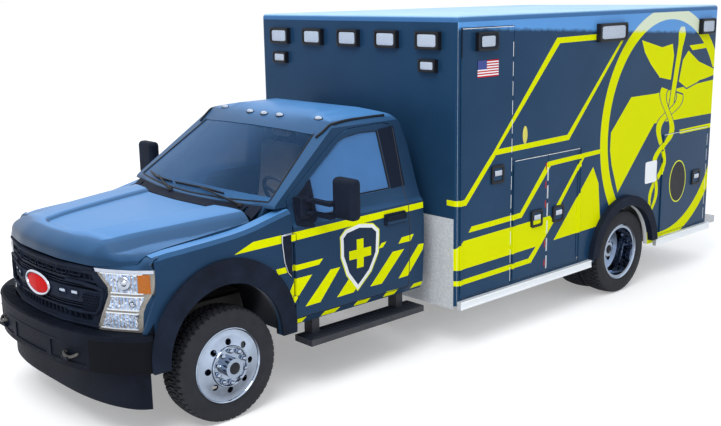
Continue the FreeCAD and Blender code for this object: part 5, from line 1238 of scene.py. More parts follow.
# Hood: the sections run from the lip over the nose to the cowl; the middle is sunk between two ridges,
# and each ridge falls over a broad slope to a shelf along the fender.
hoodForm = {"plan": ((0, -835), (300, -818), (618, -745), (760, -670), (860, -565), (960, -450)),
            "lip": ((0, 1182), (618, 1170), (760, 1185), (860, 1199), (960, 1213)),
            "front": ((0, 1330), (250, 1331), (430, 1322), (640, 1304), (780, 1272), (860, 1245), (960, 1208)),
            "rear": ((0, 1380), (400, 1380), (640, 1378), (760, 1362), (860, 1326), (960, 1280)),
            "rearAt": ((0, 262), (400, 285), (640, 330), (760, 362), (860, 325), (960, 285)),
            "valley": ((-676, 0), (-672, 130), (-655, 215), (-618, 262), (-480, 300), (-200, 352), (60, 400),
                       (400, 452)), "ridge": ((-700, 535), (-674, 543), (-568, 561), (-426, 590), (-250, 632),
                                              (-60, 664), (333, 729)),
            "shelf": ((-640, 690), (-566, 708), (-410, 726), (-229, 761), (-91, 793), (174, 814), (400, 826)),
            "sink": 0.016, "rise": 0.008, "fall": 0.030, "edge": 0.860, "thick": 0.018, }


def tableAt(name, value):
    table = np.array(hoodForm[name], float) / 1000
    return np.interp(value, table[:, 0], table[:, 1])


def easyTable(name, value, width=0.11):
    # the same table with its corners eased: the mean over a span about each value
    spans = np.linspace(-width, width, 23)
    weights = 1 - np.abs(spans) / (width * 1.02)
    shares = np.stack([tableAt(name, np.abs(value + span)) for span in spans])
    return (shares * weights[:, None]).sum(0) / weights.sum()


def softStep(value):
    value = np.clip(value, 0, 1)
    return value * value * (3 - 2 * value)


def hoodGrid(columns=160, rows=104):
    # cubic through the six section points by their chord lengths, then the creases as heights
    x = np.linspace(-hoodForm["edge"], hoodForm["edge"], columns)
    off = np.abs(x)
    nose, lip, front = frontAxle + easyTable("plan", off), easyTable("lip", off), easyTable("front", off)
    rear, tail = easyTable("rear", off), frontAxle + easyTable("rearAt", off)
    deep = nose + (front - lip) * 1.5
    ys = np.stack([nose, nose + 0.014, nose + (front - lip) * 0.6, deep, (deep + tail) / 2, tail])
    zs = np.stack([lip, lip + 0.45 * (front - lip), front - 0.018, front, (front + rear) / 2 + 0.006, rear])
    knots = np.array([0.0, 0.068, 0.150, 0.262, 0.70, 1.14])
    steps = np.concatenate([np.linspace(0, 0.262, rows * 2 // 5, endpoint=False),
                            np.linspace(0.262, 1.14, rows - rows * 2 // 5)])
    # Hermite basis with slopes from the neighbours
    slot = np.clip(np.searchsorted(knots, steps, "right") - 1, 0, 4)
    span = knots[slot + 1] - knots[slot]
    t = ((steps - knots[slot]) / span)[:, None]

    def along(values):
        slope = np.gradient(values, knots, axis=0)
        a, b = values[slot], values[slot + 1]
        m, n = slope[slot] * span[:, None], slope[slot + 1] * span[:, None]
        return ((2 * t ** 3 - 3 * t ** 2 + 1) * a + (t ** 3 - 2 * t ** 2 + t) * m
                + (3 * t ** 2 - 2 * t ** 3) * b + (t ** 3 - t ** 2) * n)

    y, z = along(ys), along(zs)
    across = np.broadcast_to(x[None], y.shape)
    off = np.abs(across)
    behind = y - frontAxle
    table = np.array(hoodForm["valley"], float) / 1000
    valleyEdge = np.interp(behind, table[:, 0], table[:, 1], left=-0.05)
    inside = np.minimum(valleyEdge - off, (behind + 0.676) * 0.8)
    ridge, shelf = tableAt("ridge", behind), tableAt("shelf", behind)
    fade = softStep((behind + 0.70) / 0.10)
    slope = np.clip((off - ridge) / (shelf - ridge), 0, 1)
    back = np.clip((off - shelf) / np.maximum(hoodForm["edge"] - shelf, 0.02), 0, 1)
    z = z - hoodForm["sink"] * softStep(inside / 0.030)
    z = z + hoodForm["rise"] * fade * softStep((off - valleyEdge) / 0.03) * (1 - slope)
    z = z - hoodForm["fall"] * fade * np.where(off < shelf, slope, 1 - back)
    return across, y, z


def hoodShape():
    top = np.stack(hoodGrid(), -1)
    # the lining lies under the skin by its thickness, along the section's own normal
    along = np.gradient(top, axis=0)
    across = np.gradient(top, axis=1)
    normal = np.cross(across, along)
    normal /= np.linalg.norm(normal, axis=2, keepdims=True)
    under = top - normal * hoodForm["thick"] * np.where(normal[..., 2:].mean() > 0, 1, -1)
    return closedSheet(top, under)


hoodBody = bodyOf("hood")
hoodPiece = makePiece("hoodSkin", hoodShape(), hoodPaint, 40, body=hoodBody)
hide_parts("hood")
armLine = np.array([(aft(250), 1.346), (aft(330), 1.348), (aft(400), 1.349), (aft(400), 1.331),
                    (aft(330), 1.326), (aft(250), 1.328)], float)
makePiece("hoodArms", merged([slabOf(armLine, 0, s * 0.690, s * 0.710) for s in (1, -1)]), frameBlack,
          body=hoodBody)
# the closing panel between the hood's lip and the lamps, round to the fender
brow = []
for side in (1, -1):
    x = np.linspace(0.615, 0.952, 26)
    low = np.stack([x, planAt("grille", x) - 0.002, np.full(26, 1.1655)], -1)
    lipX = np.minimum(x, 0.858)
    highY = frontAxle + easyTable("plan", lipX) + 0.004 + np.clip(x - 0.858, 0, 1) * 0.35
    highZ = np.where(x < 0.858, easyTable("lip", lipX) - 0.0035, 1.198)
    high = np.stack([x, highY, highZ], -1)
    outer = x > 0.856
    back = np.stack([x, np.where(outer, -3.095, highY + 0.03), np.where(outer, 1.2440, highZ - 0.004)], -1)
    rise = high * 0.5 + back * 0.5 + np.where(outer, 0.010, 0.0)[:, None] * (0, -0.4, 1.0)
    rows = np.stack([low + (0, 0.012, 0), low, low * 0.45 + high * 0.55, high, rise, back])
    rows[..., 0] *= side
    brow.append((rows.reshape(-1, 3), gridFaces(6, 26)))
makePiece("lampBrows", merged(brow), hoodPaint, 40)
print("hood made")

# Headlights: bronze frame, three reflector bays parted by pale ledges, brow bar, amber corner, clear cover
lampForm = {
    "levels": (0.752, 0.768, 0.805, 0.848, 0.890, 0.940, 0.988, 1.015, 1.042, 1.085, 1.122, 1.150, 1.164),
    "inner": (0.607, 0.612, 0.626, 0.640, 0.658, 0.678, 0.697, 0.697, 0.697, 0.664, 0.637, 0.625, 0.619),
    "outer": (0.884, 0.886, 0.888, 0.890, 0.893, 0.908, 0.929, 0.940, 0.947, 0.952, 0.953, 0.954, 0.954),
    "bays": [(0.775, 0.872), (0.902, 0.983), (1.014, 1.132)],
}


def lampInner(z, inset=0.0):
    return np.interp(z, lampForm["levels"], lampForm["inner"]) + inset


def lampOuter(z, inset=0.0):
    return np.interp(z, lampForm["levels"], lampForm["outer"]) - inset


lamps = {"frames": [], "reflectors": [], "ledges": [], "brows": [], "ambers": [], "covers": [], "bulbs": [],
         "skirts": []}
levels = np.array(lampForm["levels"])
for side in (1, -1):
    lamps["frames"].append(plateOnPlan("grille", levels, lampInner(levels), lampOuter(levels), -0.001, 0.020,
                                       18, side))
    lamps["skirts"].append(plateOnPlan("grille", levels[:8], lampOuter(levels[:8]) - 0.001, np.full(8, 0.936),
                                       -0.003, 0.006, 6, side))
    for low, high in lampForm["bays"]:
        z = np.linspace(low, high, 6)
        outer = lampOuter(z, 0.024)
        if low > 1.0:
            outer = np.minimum(outer, 0.872)
        inner = lampInner(z, 0.030)
        lamps["reflectors"].append(plateOnPlan("grille", z, inner, outer, 0.0015, 0.004, 16, side))
        for base in (low - 0.007, high + 0.001):
            z2 = np.array([base, base + 0.006])
            lamps["ledges"].append(plateOnPlan("grille", z2, lampInner(z2, 0.026),
                                               np.minimum(lampOuter(z2, 0.020), 0.900), 0.008, 0.012, 16, side))
    z = np.array([1.010, 1.014, 1.130, 1.134])
    lamps["ambers"].append(plateOnPlan("grille", z, [0.879] * 4, [0.932] * 4, 0.006, 0.010, 8, side))
    z = np.array([1.141, 1.146, 1.160, 1.164])
    lamps["brows"].append(plateOnPlan("grille", z, lampInner(z), lampOuter(z, 0.002), 0.009, 0.014, 20, side))
    for x, z, radius in ((0.800, 1.075, 0.046), (0.862, 0.858, 0.014), (0.845, 0.945, 0.020)):
        ring = [(0.000, radius), (0.008, radius), (0.011, radius * 0.92), (0.006, radius * 0.84),
                (0.003, radius * 0.45), (0.010, radius * 0.30), (0.013, radius * 0.12), (0.013, 0.0005),
                (0.0, 0.0005)]
        shape = lathe([(-a, b) for a, b in ring], (0, 0, 0), "y", 28)
        points, faces = onPlan(shape, "grille", x, z, 0.004)
        lamps["bulbs"].append((points * (side, 1, 1), faces))
    z = np.linspace(0.768, 1.142, 12)
    lamps["covers"].append(plateOnPlan("grille", z, lampInner(z, 0.010), lampOuter(z, 0.006), 0.0165, 0.003, 16,
                                       side))
for key, finish, slotName in (("frames", lampBronze, "light_lens"),
                              ("reflectors", reflectorSilver, "light_lens"),
                              ("ledges", railWhite, "light_lens"), ("brows", chromeTrim, "bright_sheet"),
                              ("ambers", lampAmber, "light_lens"), ("bulbs", chromeTrim, "bright_sheet"),
                              ("covers", clearLens, "light_lens"), ("skirts", hoodPaint, "body_paint")):
    piece = makePiece("headlight" + key.title(), merged(lamps[key]), finish)
    if key == "frames":
        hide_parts("headlights")
print("headlights made")

# Grille: slots in the head bar, fins, cell mesh at the ends, small lamps and the plain oval
grilleForm = {"slots": 8, "slotLevel": 1.106, "finLevels": (0.880, 0.897, 1.020, 1.036), "cell": 0.0125}


def cellMesh(x0, x1, z0, z1, cell):
    # six-sided frames on a honeycomb grid; each is a ring of quads with a front and an inner wall
    turn = np.linspace(0, 2 * math.pi, 6, endpoint=False) + math.pi / 6
    pitchX, pitchZ = cell * math.sqrt(3), cell * 1.5
    shapes = []
    for row in range(int((z1 - z0) / pitchZ)):
        for column in range(int((x1 - x0) / pitchX)):
            x = x0 + (column + 0.5 * (row % 2)) * pitchX
            z = z0 + row * pitchZ
            loops = [np.stack([x + r * np.cos(turn), np.full(6, y), z + r * np.sin(turn)], -1)
                     for r, y in ((cell * 1.0, -0.004), (cell * 0.80, -0.006), (cell * 0.78, 0.010))]
            shapes.append((np.concatenate(loops), gridFaces(3, 6, False, True)))
    return merged(shapes)


def bendToPlan(shape, name, front, side=1):
    points, faces = shape
    points = points.copy()
    points[:, 1] += planAt(name, points[:, 0]) - front
    points[:, 0] *= side
    return points, faces


cells, slots, ports, portGlass = [], [], [], []
for side in (1, -1):
    cells.append(bendToPlan(cellMesh(0.515, 0.655, 0.880, 0.995, grilleForm["cell"]), "grille", 0.012, side))
for k in range(grilleForm["slots"]):
    x = -0.50 + 1.0 * (k + 0.5) / grilleForm["slots"]
    ring = bezelShape("y", -1, (0, 0, 0), 0.105, 0.036, 0.006, 0.004, 0.010, 7.0)
    slots.append(onPlan(ring, "grille", x, grilleForm["slotLevel"], 0.002))
for x in (-0.423, -0.315, 0.315, 0.423):
    ring = bezelShape("y", -1, (0, 0, 0), 0.082, 0.052, 0.010, 0.007, 0.006, 6.0)
    ports.append(onPlan(ring, "grille", x, 0.968, 0.006))
    portGlass.append(onPlan(lensShape("y", -1, (0, 0, 0), 0.060, 0.022, 0.005, 4.0), "grille", x, 0.972, 0.008))
fins = [barOnPlan("grille", -0.60, 0.60, z - 0.003, z + 0.003, -0.006, 0.026, 40)
        for z in grilleForm["finLevels"]]
frameBars = [tubeOnPlan("grille", -0.600, 0.600, 1.148, 0.0075, 0.002),
             tubeOnPlan("grille", -0.62, 0.62, 0.766, 0.008, 0.002)]
for side in (1, -1):
    # raised C frames that close the grille's ends
    line = np.array([(0.36, 1.050), (0.50, 1.046), (0.612, 1.034), (0.668, 1.015), (0.668, 0.985),
                     (0.640, 0.895), (0.612, 0.858), (0.50, 0.850), (0.36, 0.852)])
    x, z = alongLine(line, 60).T
    frameBars.append(tube(np.stack([x * side, planAt("grille", x) - 0.006, z], -1), 0.012, 10))
makePiece("grilleCells", merged(cells), plasticDark, 30)
makePiece("grilleSlots", merged(slots), plasticDark)
makePiece("grilleFins", merged(fins + frameBars), plasticDark)
makePiece("grillePorts", merged(ports), plasticDark)
makePiece("grillePortGlass", merged(portGlass), lampWhite)
badge = {"half": (0.168, 0.074), "level": 0.962}
turn = np.linspace(0, 2 * math.pi, 72, endpoint=False)
ovalX, ovalZ = badge["half"][0] * np.cos(turn), badge["half"][1] * np.sin(turn)
oval = np.stack([ovalX, planAt("grille", ovalX) - 0.013, badge["level"] + ovalZ], -1)
makePiece("badgeRim", tube(oval, 0.0115, 12, True), chromeTrim, 40)
shares = np.linspace(1, 0.02, 9)
dome = np.stack([np.outer(shares, ovalX), planAt("grille", np.outer(shares, ovalX)) - 0.012 - 0.010
                 * (1 - shares ** 3)[:, None], badge["level"] + np.outer(shares, ovalZ)], -1)
makePiece("badgeField", (dome.reshape(-1, 3), gridFaces(9, 72, False, True) + [list(range(8 * 72, 9 * 72))]),
          signalRed, 40)
print("grille made")

# Bumper: step ribs and rolled edge on the shelf, a row of studs, tow hooks
ribs = []
for x in np.linspace(-0.80, 0.80, 47):
    rib = roundedBlock((-0.0022, 0.016, 0.0), (0.0022, 0.105, 0.0035), 0.001, 1)
    ribs.append(onPlan(rib, "bumper", float(x), 0.7495, 0.0))
ribs += [tubeOnPlan("bumper", -0.972, 0.972, 0.742, 0.0085, -0.004, 90),
         tubeOnPlan("bumper", -0.64, 0.64, 0.671, 0.004, 0.001, 60)]
makePiece("bumperRibs", merged(ribs), bumperPlastic)
studs = []
for x in np.linspace(-0.625, 0.625, 49):
    stud = lathe([(-0.0035, 0.0062), (-0.0035, 0.0045), (0.001, 0.004), (0.001, 0.0078), (0.0, 0.0078)],
                 (0, 0, 0), "y", 8)
    studs.append(onPlan(stud, "bumper", float(x), 0.522, 0.0))
makePiece("bumperStuds", merged(studs), trimBlack)
hooks = []
for side in (1, -1):
    t = np.linspace(0, 2 * math.pi, 40, endpoint=False)
    loop = np.stack([0.062 * np.cos(t), -0.016 - 0.026 * np.sin(t), 0.010 * np.cos(2 * t)], -1)
    hooks.append(onPlan(tube(loop, 0.0105, 10, True), "bumper", side * 0.503, 0.592, -0.012))
makePiece("towHooks", merged(hooks), castMetal, 40)
# a dark strip behind the grille's foot closes the view under it
x = np.linspace(-0.600, 0.600, 48)
strip = np.stack([np.stack([x, planAt("grille", x) + out, np.full(48, z)], -1)
                  for out, z in ((0.030, 0.700), (0.036, 0.700), (0.036, 0.800), (0.030, 0.800))])
caps = [[r * 48 for r in range(4)], [r * 48 + 47 for r in range(3, -1, -1)]]
makePiece("grilleFoot", (strip.reshape(-1, 3), gridFaces(4, 48, True) + caps), trimBlack)
print("bumper details made")

# Cab: the side follows one front outline, as (x, height) in mm
cabSideLine = ((985, 600), (1000, 900), (1000, 1060), (985, 1252), (957, 1285), (925, 1385), (800, 1880),
               (765, 1912), (690, 1938), (500, 1970), (250, 1989), (0, 1996))


def cabSideX(z):
    table = np.array(cabSideLine, float) / 1000
    return np.interp(z, table[:, 1], table[:, 0])


def rimOf(node, look):
    # the outer edges of the faces that look along a direction, as closed paths
    work = bmesh.new()
    work.from_mesh(nodes[node].data)
    bmesh.ops.remove_doubles(work, verts=work.verts, dist=2e-5)
    work.normal_update()
    look = Vector(look).normalized()
    facing = {face for face in work.faces if face.normal.dot(look) > 0.6}
    after = {}
    for edge in work.edges:
        sides = [face for face in edge.link_faces if face in facing]
        if len(sides) == 1:
            a, b = edge.verts
            after.setdefault(a, []).append(b)
            after.setdefault(b, []).append(a)
    loops, seen = [], set()
    for start in after:
        if start in seen:
            continue
        path, current = [start], start
        seen.add(start)
        while True:
            following = [v for v in after[current] if v not in seen]
            if not following:
                break
            current = following[0]
            seen.add(current)
            path.append(current)
        loops.append(np.array([v.co[:] for v in path]))
    work.free()
    return loops


def evenLoop(loop, step):
    # the same closed path with its points evenly apart
    closed = np.vstack([loop, loop[:1]])
    length = np.concatenate([[0], np.cumsum(np.linalg.norm(np.diff(closed, axis=0), axis=1))])
    at = np.linspace(0, length[-1], max(12, int(length[-1] / step)), endpoint=False)
    return np.stack([np.interp(at, length, closed[:, k]) for k in range(3)], -1)


gaskets = [("cab_glass", (0, -0.58, 0.82), 0.0075, "vehicle", 0.3),
           ("cab_glass", (0, 1, 0.1), 0.009, "vehicle", 0.3),
           ("cab_door_glass_left", (1, 0, 0.25), 0.0085, None, 0.1),
           ("cab_door_glass_right", (-1, 0, 0.25), 0.0085, None, 0.1),
           ("entry_door_glass", (-1, 0, 0), 0.010, None, 0.1),
           ("rear_door_glass_left", (0, 1, 0), 0.010, None, 0.1),
           ("rear_door_glass_right", (0, 1, 0), 0.010, None, 0.1)]
for index, (node, look, radius, body, least) in enumerate(gaskets):
    shapes = []
    for loop in rimOf(node, look):
        path = evenLoop(loop, 0.02)
        if len(path) > 16 and np.ptp(path, axis=0).max() > least:
            shapes.append(tube(path + np.array(look) / np.linalg.norm(look) * 0.002, radius, 8, True))
    if shapes:
        makePiece("gasket%d" % index, merged(shapes), trimBlack, 50, body=body or bodyOf(node))
print("gaskets made")

cabTrim = {
    "rain": ((0.744, -1.600, 1.812), (0.762, -1.540, 1.852), (0.768, -1.475, 1.886), (0.765, -1.400, 1.905),
             (0.760, -1.235, 1.9135), (0.758, -1.030, 1.9145), (0.760, -0.930, 1.910)),
    "markers": ((-0.60, -1.450, 1.9315), (-0.19, -1.495, 1.9265), (0.0, -1.501, 1.9262), (0.19, -1.495, 1.9265),
                (0.60, -1.450, 1.9315)),
    "markerLean": (0.0, -0.35, 0.94),
}
rain, domes, domeBases = [], [], []
shellTree = BVHTree.FromPolygons([v.co.copy() for v in nodes["cab_shell"].data.vertices],
                                 [list(p.vertices) for p in nodes["cab_shell"].data.polygons])


def onShell(points, lift):
    # each point moved to the nearest place on the cab's skin, then out from it by lift
    placed = []
    for point in points:
        near, normal = shellTree.find_nearest(Vector(point))[:2]
        out = normal if normal.dot(Vector((point[0], 0, point[2] - 1.2))) > 0 else -normal
        placed.append(near + out * lift)
    return np.array([p[:] for p in placed])


for side in (1, -1):
    line = onShell(alongLine(np.array(cabTrim["rain"]) * (side, 1, 1), 36), 0.006)
    smoothLine = np.vstack([line[:1], (line[:-2] + 2 * line[1:-1] + line[2:]) / 4, line[-1:]])
    rain.append(tube(smoothLine, 0.0100, 10))
makePiece("rainRails", merged(rain), trimBlack, 50)


def turnedTo(shape, place, normal):
    # a shape made round the origin with its height along z, set on a face with the given normal
    points, faces = shape
    turn = np.array(Vector((0, 0, 1)).rotation_difference(Vector(normal)).to_matrix())
    return np.asarray(points, float) @ turn.T + place, faces


for x, y, z in onShell(cabTrim["markers"], 0.001):
    dome = lathe([(-0.004, 0.0165), (0.006, 0.0160), (0.014, 0.0130), (0.019, 0.0080), (0.0205, 0.0005),
                  (-0.004, 0.0005)], (0, 0, 0), "z", 20)
    domes.append(turnedTo((dome[0] * (2.4, 1.15, 1), dome[1]), (x, y, z), cabTrim["markerLean"]))
    base = lathe([(-0.006, 0.0200), (0.003, 0.0198), (0.004, 0.0170), (-0.006, 0.0170)], (0, 0, 0), "z", 20)
    domeBases.append(turnedTo((base[0] * (2.3, 1.2, 1), base[1]), (x, y, z), cabTrim["markerLean"]))
makePiece("roofMarkers", merged(domes), lampWhite, 50)
makePiece("roofMarkerBases", merged(domeBases), trimBlack, 50)

# Wipers: a pivot boss, a bent arm and a blade with its rubber lying on the glass
glassUp = np.array((0.0, -0.58, 0.815))


def wiperShapes(pivot, elbow, bladeLine, lift=0.012):
    pivot, elbow, bladeLine = (np.asarray(v, float) for v in (pivot, elbow, bladeLine))
    middle = bladeLine.mean(0) + glassUp * (lift + 0.012)
    arm = np.array([pivot + glassUp * 0.016, (pivot + elbow) / 2 + glassUp * 0.024, elbow + glassUp * 0.026,
                    middle])
    arm, blade = alongLine(arm, 22), alongLine(bladeLine, 30)
    t = np.linspace(0, len(bladeLine) - 1, 30)
    girth = np.interp(t, (0, len(bladeLine) / 2, len(bladeLine) - 1), (0.0045, 0.0090, 0.0045))
    frame = tube(blade + glassUp * (lift + 0.004), girth, 8)
    lip = tube(blade + glassUp * (lift * 0.4), 0.0042, 6)
    boss = turnedTo(lathe([(-0.010, 0.021), (0.016, 0.020), (0.022, 0.014), (0.023, 0.0005), (-0.010, 0.0005)],
                          (0, 0, 0), "z", 20), pivot, glassUp)
    return [tube(arm, np.linspace(0.0105, 0.0060, 22), 8), frame, lip, boss]


wipers = wiperShapes((0.640, -2.223, 1.386), (0.439, -2.219, 1.406),
                     ((-0.245, -2.187, 1.4345), (0.087, -2.189, 1.4385), (0.387, -2.181, 1.4310)))
wipers += wiperShapes((-0.217, -2.253, 1.390), (-0.383, -2.205, 1.415),
                      ((-0.300, -2.186, 1.4340), (-0.520, -2.172, 1.4330), (-0.740, -2.105, 1.4480)))
makePiece("wipers", merged(wipers), trimBlack, 50)

# Door handles, mirror sails, mirrors, vents and running boards; all sizes are of the left side
cabFittings = {
    # rounded blocks: low corner, high corner, radius
    "handle": [((0.978, -1.158, 1.118), (1.010, -0.934, 1.206), 0.012),
               ((1.006, -1.150, 1.150), (1.030, -0.945, 1.192), 0.011),
               ((1.004, -1.150, 1.122), (1.016, -1.100, 1.146), 0.005)],
    "mirrorFoot": ((0.935, -1.955, 1.292), (0.985, -1.862, 1.450), 0.014),
    # mirror sail: outline (mm behind the front axle, height), faces out from and in from the cab's side
    "sail": ((838, 1552), (760, 1498), (645, 1420), (632, 1262), (700, 1240), (780, 1226), (838, 1292)),
    "sailFaces": (0.007, -0.008), "sailBevel": 0.004,
    # mirror head: middle, half sizes, power, taper to its foot, flattening of its rear, glass (middle, half)
    "head": (1.285, -1.7955, 1.467), "headHalf": (0.109, 0.0465, 0.144), "headPower": 3.6, "headTaper": 0.10,
    "headRear": 0.86, "panes": (((1.283, 1.512), (0.088, 0.082)), ((1.283, 1.378), (0.088, 0.030))),
    "paneAt": (-1.758, -1.7525), "armLevels": (1.337, 1.424),
}
for name, side in sides:
    door = bodyOf("cab_door_" + name)
    handle = merged([roundedBlock(*block) for block in cabFittings["handle"]])
    makePiece("doorHandle" + name.title(), mirrored(handle, side), plasticDark, 50, body=door)
    brim = np.array(cabFittings["sail"], float) / 1000
    y, z = frontAxle + brim[:, 0], brim[:, 1]
    x = cabSideX(z)
    count = len(brim)
    points = np.concatenate([np.stack([(x + out) * side, y, z], -1) for out in cabFittings["sailFaces"]])
    walls = gridFaces(2, count, False, True) + [list(range(count)), list(range(count, 2 * count))[::-1]]
    makePiece("mirrorSail" + name.title(), (points, walls), plasticDark, 30, bevel=cabFittings["sailBevel"],
              body=door)
    # head: |x/a|^p + |y/b|^p + |z/c|^p = 1, wider towards its foot, with the glass set in its rear face
    u = np.linspace(-math.pi / 2, math.pi / 2, 33)
    v = np.linspace(0, 2 * math.pi, 56, endpoint=False)
    cu, su, cv, sv = [signedPower(part(t), 2 / cabFittings["headPower"]) for t in (u, v)
                      for part in (np.cos, np.sin)]
    halfX, halfY, halfZ = cabFittings["headHalf"]
    hx, hy = cu[:, None] * cv[None] * halfX, cu[:, None] * sv[None] * halfY
    hz = np.repeat(su[:, None] * halfZ, 56, 1)
    hx = hx * (1 - cabFittings["headTaper"] * hz / halfZ)
    hy = hy * np.where(hy < 0, 1.0, cabFittings["headRear"])
    head = (np.stack([hx, hy, hz], -1) + cabFittings["head"]).reshape(-1, 3)
    headFaces = gridFaces(33, 56, False, True)
    arms = [tube(np.array([(0.955, -1.905, z0), (1.03, -1.875, z0), (1.12, -1.850, z0 + 0.002),
                           (1.215, -1.815, z0 + 0.004)]), (0.019, 0.0145, 0.0135, 0.018), 12)
            for z0 in cabFittings["armLevels"]]
    shape = merged([(head, headFaces), roundedBlock(*cabFittings["mirrorFoot"])] + arms)
    mirror = makePiece("mirror" + name.title(), mirrored(shape, side), plasticDark, 50,
                       body=bodyOf("mirror_" + name))
    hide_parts("mirror_" + name)
    shape = merged([slabOf(outlineEllipse(middle, half, 40, 4.0), 1, *cabFittings["paneAt"])
                    for middle, half in cabFittings["panes"]])
    makePiece("mirrorGlass" + name.title(), mirrored(shape, side), mirrorGlass, body=bodyOf("mirror_" + name))
    # fender side vent: a dark grained panel in a bright edge that is wide at its head
    vent = np.array([(-2.140, 1.214), (-2.050, 1.219), (-2.050, 0.905), (-2.066, 0.905), (-2.118, 1.000)])
    panel = slabOf(vent, 0, 0.9845, 0.9885)
    makePiece("ventPanel" + name.title(), mirrored(panel, side), plasticDark, 30)
    edge = np.array([(0.9885, -2.050, 1.216), (0.9890, -2.085, 1.2150), (0.9890, -2.134, 1.2120),
                     (0.9885, -2.134, 1.160), (0.9885, -2.118, 1.020), (0.9885, -2.090, 0.940),
                     (0.9885, -2.062, 0.908)])
    t = np.linspace(0, 6, 40)
    rim = tube(alongLine(edge, 40), np.interp(t, (0, 1.5, 2.4, 6), (0.0085, 0.0085, 0.0060, 0.0035)), 10)
    makePiece("ventEdge" + name.title(), mirrored(rim, side), chromeTrim, 50)
    # running board: a grip pad on the tread and a thin lip along its outer edge
    y0, y1 = aft(702), aft(1838)
    pad = roundedBlock((0.868, y0, 0.4105), (1.022, y1, 0.4165), 0.0025)
    ribs = [roundedBlock((0.880, y, 0.4150), (1.010, y + 0.012, 0.4195), 0.0015)
            for y in np.linspace(y0 + 0.03, y1 - 0.04, 26)]
    shape = merged([pad] + ribs)
    makePiece("boardTread" + name.title(), mirrored(shape, side), gripPlastic, 40)
# Rear doors: a black plate with a bright paddle near the middle seam on each
for name, side in sides:
    low, high = np.array((0.055, moduleRear - 0.004, 0.985)), np.array((0.175, moduleRear + 0.008, 1.075))
    plate = roundedBlock(low, high, 0.006)
    paddle = roundedBlock(low + (0.022, 0.010, 0.028), high + (-0.022, 0.010, -0.028), 0.008)
    makePiece("rearHandlePlate" + name.title(), mirrored(plate, side), trimBlack, 40,
              body=bodyOf("rear_door_" + name))
    makePiece("rearHandlePaddle" + name.title(), mirrored(paddle, side), chromeTrim, 40,
              body=bodyOf("rear_door_" + name))
print("cab details made")

# Padded seats and bench: each pad starts as a rounded block, is remeshed and blown up as cloth with a cap on
# its travel; most then take sewn channels, the seat's back and headrest are leaned, and each seat has a piping
# along its seam.
pads = {
    "seat": {"voxel": 0.010, "pressure": 4.0, "cap": 0.014, "channel": 0.006},
    "bench": {"voxel": 0.016, "pressure": 4.0, "cap": 0.010, "channel": 0.010, "backChannel": 0.008},
}


def leaned(shape, foot, top, low):
    # moves points back with their height, from y=foot at z=low[0] to y=top at z=low[1]
    points, faces = shape
    share = (points[:, 2] - low[0]) / (low[1] - low[0])
    points = points.copy()
    points[:, 1] += foot + (top - foot) * share
    return points, faces


def puffed(low, high, radius, form):
    # rounded block, voxel remesh, then cloth pressure for 20 frames with no gravity; the travel is capped
    piece = bpy.data.objects.new("padWork", meshOf("padStart", roundedBlock(low, high, radius, 4)))
    scene.collection.objects.link(piece)
    remesh = piece.modifiers.new("remesh", "REMESH")
    remesh.mode, remesh.voxel_size = "VOXEL", form["voxel"]
    bpy.context.view_layer.update()
    even = bpy.data.meshes.new_from_object(piece.evaluated_get(bpy.context.evaluated_depsgraph_get()))
    piece.modifiers.clear()
    piece.data = even
    moved = start = placesOf(even.vertices)
    cloth = piece.modifiers.new("cloth", "CLOTH")
    settings = cloth.settings
    settings.use_pressure, settings.uniform_pressure_force = True, form["pressure"]
    settings.effector_weights.gravity = 0.0
    settings.quality, settings.mass = 5, 0.3
    cloth.point_cache.frame_start, cloth.point_cache.frame_end = 1, 20
    for frameNumber in range(1, 21):
        scene.frame_set(frameNumber)
    swollen = piece.evaluated_get(bpy.context.evaluated_depsgraph_get()).to_mesh()
    moved = placesOf(swollen.vertices)
    scene.frame_set(1)
    travel = moved - start
    length = np.linalg.norm(travel, axis=1, keepdims=True)
    capped = start + travel * np.minimum(1, form["cap"] / np.maximum(length, 1e-9))
    faces = [list(polygon.vertices) for polygon in even.polygons]
    bpy.data.objects.remove(piece)
    return capped, faces


def sewn(points, faces, centre, half, channels, depth, facing):
    # grooves where the channel lines run: depth * exp(-(d/w)^2), pressed in towards the pad's middle
    for axis, at, width in channels:
        away = (points[:, axis] - at) / width
        inward = centre - points
        inward /= np.maximum(np.linalg.norm(inward, axis=1, keepdims=True), 1e-6)
        front = np.clip(((points - centre) @ np.asarray(facing, float)) / half, 0, 1)
        points = points + inward * (depth * np.exp(-away ** 2) * np.sqrt(front))[:, None]
    return points, faces


def padPiece(name, shape, body, finish, node):
    piece = linkPiece(meshOf(name, shape, False), name, body, finish, 180)
    soft = piece.modifiers.new("soft", "SUBSURF")
    soft.levels = soft.render_levels = 1
    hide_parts(node)


def seatShapes():
    # cushion, back and headrest of the seat on the left, in their own places
    form = pads["seat"]
    frontY, rearY = aft(1012), aft(1488)
    cushion = puffed((0.184, frontY + 0.012, 0.992), (0.676, rearY - 0.006, 1.112), 0.045, form)
    cushion = sewn(*cushion, np.array((0.43, (frontY + rearY) / 2, 1.05)), 0.07,
                   [(0, 0.285, 0.012), (0, 0.575, 0.012), (1, frontY + 0.13, 0.010), (1, frontY + 0.25, 0.010),
                    (1, frontY + 0.36, 0.010)], form["channel"], (0, 0, 1))
    back = puffed((0.190, 0.006, 1.010), (0.670, 0.106, 1.620), 0.045, form)
    back = sewn(*back, np.array((0.43, 0.056, 1.31)), 0.05,
                [(0, 0.285, 0.012), (0, 0.575, 0.012), (2, 1.16, 0.010), (2, 1.27, 0.010), (2, 1.38, 0.010),
                 (2, 1.49, 0.010)], form["channel"], (0, -1, 0))
    back = leaned(back, aft(1478), aft(1562), (1.01, 1.63))
    headrest = puffed((0.312, 0.004, 1.655), (0.548, 0.084, 1.800), 0.034, form)
    headrest = leaned(headrest, aft(1587), aft(1597), (1.655, 1.80))
    return cushion, back, headrest


